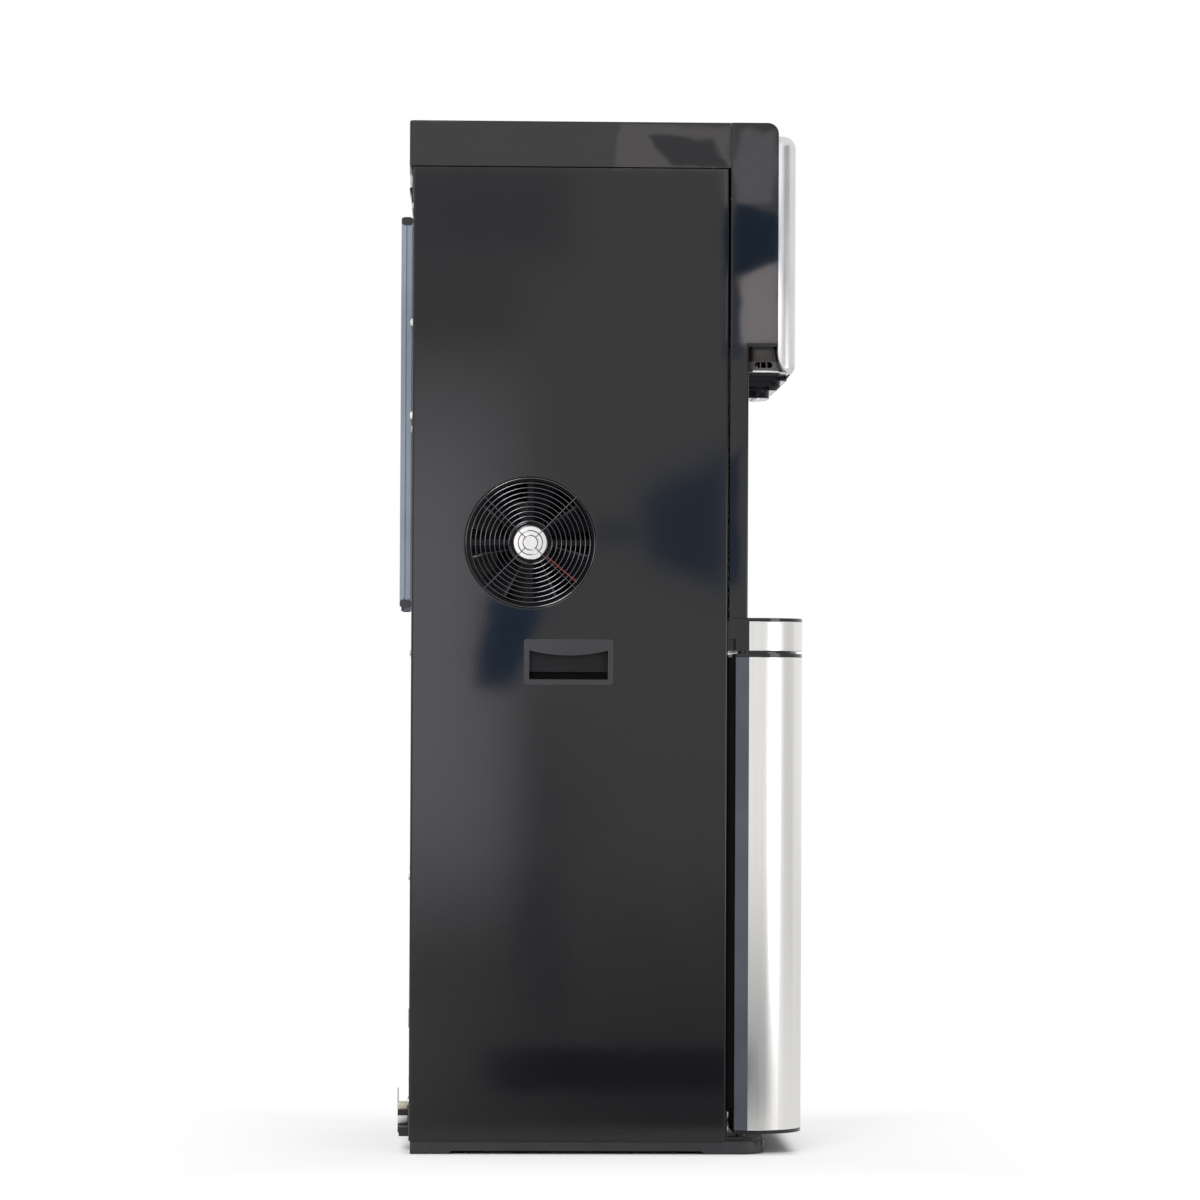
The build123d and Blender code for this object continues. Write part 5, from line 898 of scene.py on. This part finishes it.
# Drain caps: fluted cups, bored to go over their outlets; the upper one has a pull tab
CUP = [
    (0.3, 203.95, 0), (2.84, 203.9, 0), (2.84, 194.95, 0), (3.0, 194.89, 0), (3.7, 194.89, 0.05),
    (4.0, 195.3, 0.14), (4.0, 203.6, 0.14), (3.7, 204.6, 0.1), (2.8, 205.1, 0), (0.3, 205.27, 0),
]
HOT_CUP = (-104.0, 0, 45.0)
COLD_CUP = (-74.0, 0, 28.0)
TAB_LOW = (-106.0, 203.9, 45.5)
TAB_HIGH = (-102.0, 204.9, 62.8)
TAB_CORNER = 0.48
hot_cup, cold_cup = (turned(CUP, middle, TO_BACK, 72, flutes=18) for middle in (HOT_CUP, COLD_CUP))
tab = rounded_box(TAB_LOW, TAB_HIGH, TAB_CORNER)
stand_in("hot_drain_cup", [hot_cup], "hot_drain_cap", sharp=40)
piece("hot_drain_tab", [tab], BODY_OF["hot_drain_cap"], SLOT_OF["hot_drain_cap"], finish="tab_grey")
stand_in("cold_drain_cup", [cold_cup], "cold_drain_cap", sharp=40)


# Cabinet screws: hexagon heads with a dished top, ten in the back panel and two in the hinge bracket
HEX = [(3.55, 0.0), (3.58, 0.9), (3.2, 1.25), (2.5, 1.38), (1.9, 1.2), (1.6, 0.85), (0.4, 0.8)]
SCREW_X = 148.0
BACK_SCREW_LEVELS = (52.2, 277.6, 503.0, 728.4, 953.8)
HINGE_SCREW_LEVELS = (24.96, 39.52)
HINGE_FACE_Y = FRONT_Y - 1.5
screws = [
    turned(HEX, (side * SCREW_X, BACK_Y, level), TO_BACK, 6)
    for side in (-1, 1)
    for level in BACK_SCREW_LEVELS
]
screws += [turned(HEX, (-SCREW_X, HINGE_FACE_Y, level), TO_FRONT, 6) for level in HINGE_SCREW_LEVELS]
stand_in("screw_heads", screws, "cabinet_screws", sharp=20)


# Every CAD solid takes the finish of its slot, which shows on those that nothing replaces
for node, made in NODES.items():
    made.data.materials.clear()
    made.data.materials.append(FINISHES[SLOT_OF[node]])


# Fan lead: two red wires twisted together
LEAD_X = -151.0
LEAD_TURN = math.radians(40)
LEAD_START = 18.0
LEAD_END = 61.4
LEAD_PITCH = 9.0
LEAD_OFF = 0.62
LEAD_WIRE = 0.6


def lead_wire(start):
    """Helix about the lead's line: the line at reach s plus the offset times (cos a on its side, sin a on X),
    with a = 2 pi s / pitch + start."""
    reach = np.linspace(LEAD_START, LEAD_END, 60)
    swing = 2 * np.pi * reach / LEAD_PITCH + start
    out = np.array([0.0, -math.cos(LEAD_TURN), -math.sin(LEAD_TURN)])
    side = np.array([0.0, math.sin(LEAD_TURN), -math.cos(LEAD_TURN)])
    path = np.array([LEAD_X, FAN_Y, FAN_Z]) + reach[:, None] * out
    path = path + LEAD_OFF * np.cos(swing)[:, None] * side
    path[:, 0] += LEAD_OFF * np.sin(swing)
    return carried(ring_profile(LEAD_WIRE, 10), path, RIGHT)


stand_in("fan_lead_pair", [lead_wire(0.0), lead_wire(np.pi)], "fan_lead")


# Stage: pale floor, even light, reflected cards and a long lens, in metres
FLOOR_RINGS = (0.02, 0.5, 1.0, 2.0, 4.0, 9.0)
FLOOR_GREY = 0.93
FLOOR_ROUGHNESS = 0.9
FOOT_HALVES = {"X": 0.152, "Y": 0.186}
NEAR_FADE = (0.02, 0.6)
WIDE_FADE = (0.3, 0.4)
LIGHT_LEVEL = 0.78
MIRRORED_LEVEL = 0.95
WHITE = (1, 1, 1, 1)
VIEW_Y = 0.1748
VIEW_Z = 0.4565
VIEW_REACH = 5.0
VIEW_AHEAD = (5000.0, -171.1, 100.65)
VIEW_ROLL = 0.27
SENSOR = 36.0
FOCAL_PIXELS = 4970.0
PHOTO_PIXELS = 1200.0
RAGGED_SCALE = 34.0
RAGGED_SWING = 0.34

# Lamps: name, place, what they face, width, height and watts
LAMPS = (
    ("key", (-2.6, 0.9, 2.6), (0.0, 0.0, 0.5), 1.0, 1.0, 34.0),
    ("front_box", (-1.85, -2.3, 0.41), (0.0, -0.16, 0.41), 1.15, 0.78, 7.5),
)


def studio_floor():
    """Pale floor that shows the shadow near the object and turns to plain white further out: to the camera,
    white takes over with two smooth steps of the distance from the foot's rectangle."""
    t = np.linspace(0, 2 * np.pi, 64, endpoint=False)
    radius = np.array(FLOOR_RINGS)[:, None]
    x, y = radius * np.cos(t), radius * np.sin(t)
    points = np.stack([x, y, np.zeros_like(x)], -1)
    mesh = bpy.data.meshes.new("studio_floor")
    faces = grid_faces(len(radius), len(t), False)
    faces.append(list(range(len(t))))
    mesh.from_pydata(points.reshape(-1, 3).tolist(), [], faces)
    floor = bpy.data.objects.new("studio_floor", mesh)
    bpy.context.scene.collection.objects.link(floor)
    material, tree, surface = start_material("studio_floor", shine=0.0)
    surface.inputs["Base Color"].default_value = (FLOOR_GREY, FLOOR_GREY, FLOOR_GREY, 1.0)
    surface.inputs["Roughness"].default_value = FLOOR_ROUGHNESS
    apart = add_node(tree, "ShaderNodeSeparateXYZ", Vector=own_place(tree)).outputs
    off = [
        maths(tree, "SUBTRACT", maths(tree, "ABSOLUTE", apart[axis]), half)
        for axis, half in FOOT_HALVES.items()
    ]
    far = maths(tree, "MAXIMUM", *off)
    near, wide = (
        ranged(tree, far, 0.0, distance, 0.0, share, "SMOOTHSTEP")
        for distance, share in (NEAR_FADE, WIDE_FADE)
    )
    seen = tree.nodes.new("ShaderNodeLightPath").outputs["Is Camera Ray"]
    weight = maths(tree, "MULTIPLY", maths(tree, "ADD", near, wide), seen)
    white = add_node(tree, "ShaderNodeEmission", Color=WHITE, Strength=1.0).outputs[0]
    mix = add_node(tree, "ShaderNodeMixShader", i0=weight, i1=surface.outputs[0], i2=white)
    tree.links.new(mix.outputs[0], tree.nodes["Material Output"].inputs["Surface"])
    mesh.materials.append(material)


def face_ahead(holder, at, ahead, roll=0.0):
    """Puts a lamp or camera at a point: right is ahead x Z and up is right x ahead, both turned by the roll,
    in degrees."""
    ahead = unit(ahead)
    right = unit(np.cross(ahead, UP))
    up = np.cross(right, ahead)
    turn = math.radians(roll)
    pose = np.eye(4)
    pose[:3, 0] = right * math.cos(turn) + up * math.sin(turn)
    pose[:3, 1] = up * math.cos(turn) - right * math.sin(turn)
    pose[:3, 2] = -ahead
    pose[:3, 3] = at
    holder.matrix_world = Matrix(pose.tolist())


def studio_light():
    """Even white surround, plain white to the camera, with a small key from above and a low box in front."""
    scene = bpy.context.scene
    world = bpy.data.worlds.new("studio")
    scene.world = world
    world.use_nodes = True
    tree = world.node_tree
    seen = tree.nodes.new("ShaderNodeLightPath").outputs
    shown = maths(tree, "MAXIMUM", seen["Is Camera Ray"], seen["Is Transmission Ray"])
    soft = ranged(tree, seen["Is Glossy Ray"], 0.0, 1.0, LIGHT_LEVEL, MIRRORED_LEVEL)
    surround = tree.nodes["Background"].inputs
    tree.links.new(maths(tree, "MAXIMUM", shown, soft), surround["Strength"])
    surround["Color"].default_value = WHITE
    for name, at, aim, wide, high, watts in LAMPS:
        lamp = bpy.data.lights.new(name, "AREA")
        lamp.shape = "RECTANGLE"
        lamp.size = wide
        lamp.size_y = high
        lamp.energy = watts
        holder = bpy.data.objects.new(name, lamp)
        scene.collection.objects.link(holder)
        face_ahead(holder, at, np.subtract(aim, at))


def side_card(off, *spots):
    """Corners of an upright card off metres from the fan side, where that side mirrors it to the camera at
    the given (y, z) spots in mm: each P goes to V + (P - V)(1 + off / reach), V being the camera's place."""
    grow = 1.0 + off / VIEW_REACH
    x = PANEL_X * MM - off
    return [(x, VIEW_Y + (y * MM - VIEW_Y) * grow, VIEW_Z + (z * MM - VIEW_Z) * grow) for y, z in spots]


def side_box(off, y0, y1, z0, z1):
    """The same for a region with straight sides."""
    return side_card(off, (y0, z0), (y1, z0), (y1, z1), (y0, z1))


def front_card(start, end, low, high):
    """Corners of an upright card over a line on the floor, from (x, y) start to end, in metres."""
    return [(*start, low), (*end, low), (*end, high), (*start, high)]


# Cards that only reflections see: corners, light given off, strength and edge softness
CARDS = [
    # In the side panel and the leg before it
    (side_card(0.4, (140, 462), (88, 462), (52, 566), (122, 566)), (0.16, 0.36, 0.66), 1.0, 0.5),
    (side_card(0.5, (-164, 560), (-52, 594), (-38, 668), (-164, 724)), (0.20, 0.36, 0.60), 0.9, 0.5),
    (side_box(0.5, -60, 16, 611, 640), (0.2, 0.3, 0.5), 0.6, 0.8),
    (side_box(0.6, 50, 430, 170, 840), (2.4, 2.3, 2.45), 0.85, 1.0),
    (side_box(1.0, 4, 330, 890, 1004), (0.3, 0.3, 0.36), 0.45, 0.7),
    (side_box(1.0, 66, 330, 806, 900), (0.3, 0.3, 0.36), 0.3, 0.8),
    (side_box(1.2, 16, 118, 80, 480), (0.2, 0.2, 0.26), 0.4, 0.9),
    (side_box(1.2, -50, 150, 284, 398), (0.2, 0.2, 0.26), 0.15, 0.8),
    (side_box(0.3, -700, 330, -700, 330), (0.12, 0.12, 0.13), 0.85, 1.0),
    (side_box(0.25, -220, 150, 58, 112), (0.06, 0.07, 0.10), 0.75, 0.7),
    # In the side of the head
    (side_box(0.16, -176, -129, 954, 1036), (2.0, 1.95, 2.05), 0.9, 0.2),
    (side_card(0.15, (-177, 900), (-129, 880), (-129, 956), (-177, 950)), (0.12, 0.28, 0.5), 1.0, 0.3),
    (side_card(0.16, (-177, 815), (-131, 815), (-141, 884), (-177, 904)), (3.9, 3.6, 3.7), 0.95, 0.25),
    (side_card(0.14, (-143, 800), (-128, 800), (-128, 890), (-134, 890)), (0.4, 0.5, 0.7), 0.9, 0.3),
    # In the top cover
    (side_box(0.1, -128, 420, 992, 1060), (1.4, 1.35, 1.3), 0.8, 0.05),
    (side_box(0.09, -127, -8, 992, 1044), (2.3, 2.2, 2.1), 0.7, 0.1),
    (side_card(0.08, (-126, 994), (-60, 996), (-34, 1032), (-110, 1030)), (0.75, 0.75, 0.78), 0.95, 0.35),
    # In the front cover and the door
    (front_card((-2.5, -0.9), (-0.9, -2.5), 0.7, 2.2), (0.3, 0.3, 0.32), 1.0, 0.5),
    (front_card((-0.9, -2.6), (0.9, -2.9), 0.0, 0.85), (0.6, 0.6, 0.6), 0.7, 0.5),
]


def card_mesh():
    """One quad for each card, with a unit square of UV, and its tint, strength and softness on the face."""
    corners, tints, strengths, softness = zip(*CARDS)
    mesh = bpy.data.meshes.new("reflected_cards")
    faces = np.arange(4 * len(CARDS)).reshape(-1, 4)
    mesh.from_pydata(np.array(corners).reshape(-1, 3).tolist(), [], faces.tolist())
    square = np.tile([0.0, 0, 1, 0, 1, 1, 0, 1], len(CARDS))
    mesh.uv_layers.new(name="UVMap").data.foreach_set("uv", square)
    tints = np.array([(*tint, 1.0) for tint in tints])
    mesh.attributes.new("tint", "FLOAT_COLOR", "FACE").data.foreach_set("color", tints.ravel())
    for label, values in (("strength", strengths), ("soft", softness)):
        mesh.attributes.new(label, "FLOAT", "FACE").data.foreach_set("value", np.array(values))
    return mesh


def studio_cards():
    """Upright cards with soft, uneven edges: strength times smooth steps, from 0 to the softness, of
    4u(1 - u) + n and 4v(1 - v) + n, n being noise times 1 - softness."""
    mesh = card_mesh()
    material, tree, surface = start_material("reflected_cards")
    tree.nodes.remove(surface)
    place_at = tree.nodes.new("ShaderNodeTexCoord").outputs
    apart = add_node(tree, "ShaderNodeSeparateXYZ", Vector=place_at["UV"]).outputs
    given = {label: add_node(tree, "ShaderNodeAttribute", {"attribute_name": label}).outputs
             for label in ("tint", "strength", "soft")}
    soft = given["soft"]["Fac"]
    uneven = noise(tree, place_at["Object"], RAGGED_SCALE, 3.0)
    swing = ranged(tree, uneven, MASK_LOW, MASK_HIGH, -RAGGED_SWING, RAGGED_SWING)
    ragged = maths(tree, "MULTIPLY", swing, maths(tree, "SUBTRACT", 1.0, soft))
    mask = given["strength"]["Fac"]
    for axis in ("X", "Y"):
        hump = maths(tree, "MULTIPLY", apart[axis], maths(tree, "SUBTRACT", 1.0, apart[axis]))
        tall = maths(tree, "MULTIPLY_ADD", hump, 4.0, ragged)
        mask = maths(tree, "MULTIPLY", mask, ranged(tree, tall, 0.0, soft, 0.0, 1.0, "SMOOTHSTEP"))
    clear = tree.nodes.new("ShaderNodeBsdfTransparent").outputs[0]
    light = add_node(tree, "ShaderNodeEmission", Color=given["tint"]["Color"], Strength=1.0).outputs[0]
    mix = add_node(tree, "ShaderNodeMixShader", i0=mask, i1=clear, i2=light)
    tree.links.new(mix.outputs[0], tree.nodes["Material Output"].inputs["Surface"])
    mesh.materials.append(material)
    cards = bpy.data.objects.new("reflected_cards", mesh)
    bpy.context.scene.collection.objects.link(cards)
    cards.visible_camera = False
    cards.visible_diffuse = False
    cards.visible_shadow = False
    cards.visible_transmission = False
    cards.visible_volume_scatter = False


def studio_camera():
    """Long lens square on to the fan side, a little below the middle and tipped up, with a slight roll."""
    scene = bpy.context.scene
    lens = bpy.data.cameras.new("camera")
    lens.sensor_width = SENSOR
    lens.lens = SENSOR * FOCAL_PIXELS / PHOTO_PIXELS
    lens.clip_start = 0.1
    lens.clip_end = 50.0
    holder = bpy.data.objects.new("camera", lens)
    scene.collection.objects.link(holder)
    face_ahead(holder, (PANEL_X * MM - VIEW_REACH, VIEW_Y, VIEW_Z), VIEW_AHEAD, VIEW_ROLL)
    scene.camera = holder


studio_floor()
studio_light()
studio_cards()
studio_camera()
bpy.context.scene.view_settings.view_transform = "Standard"
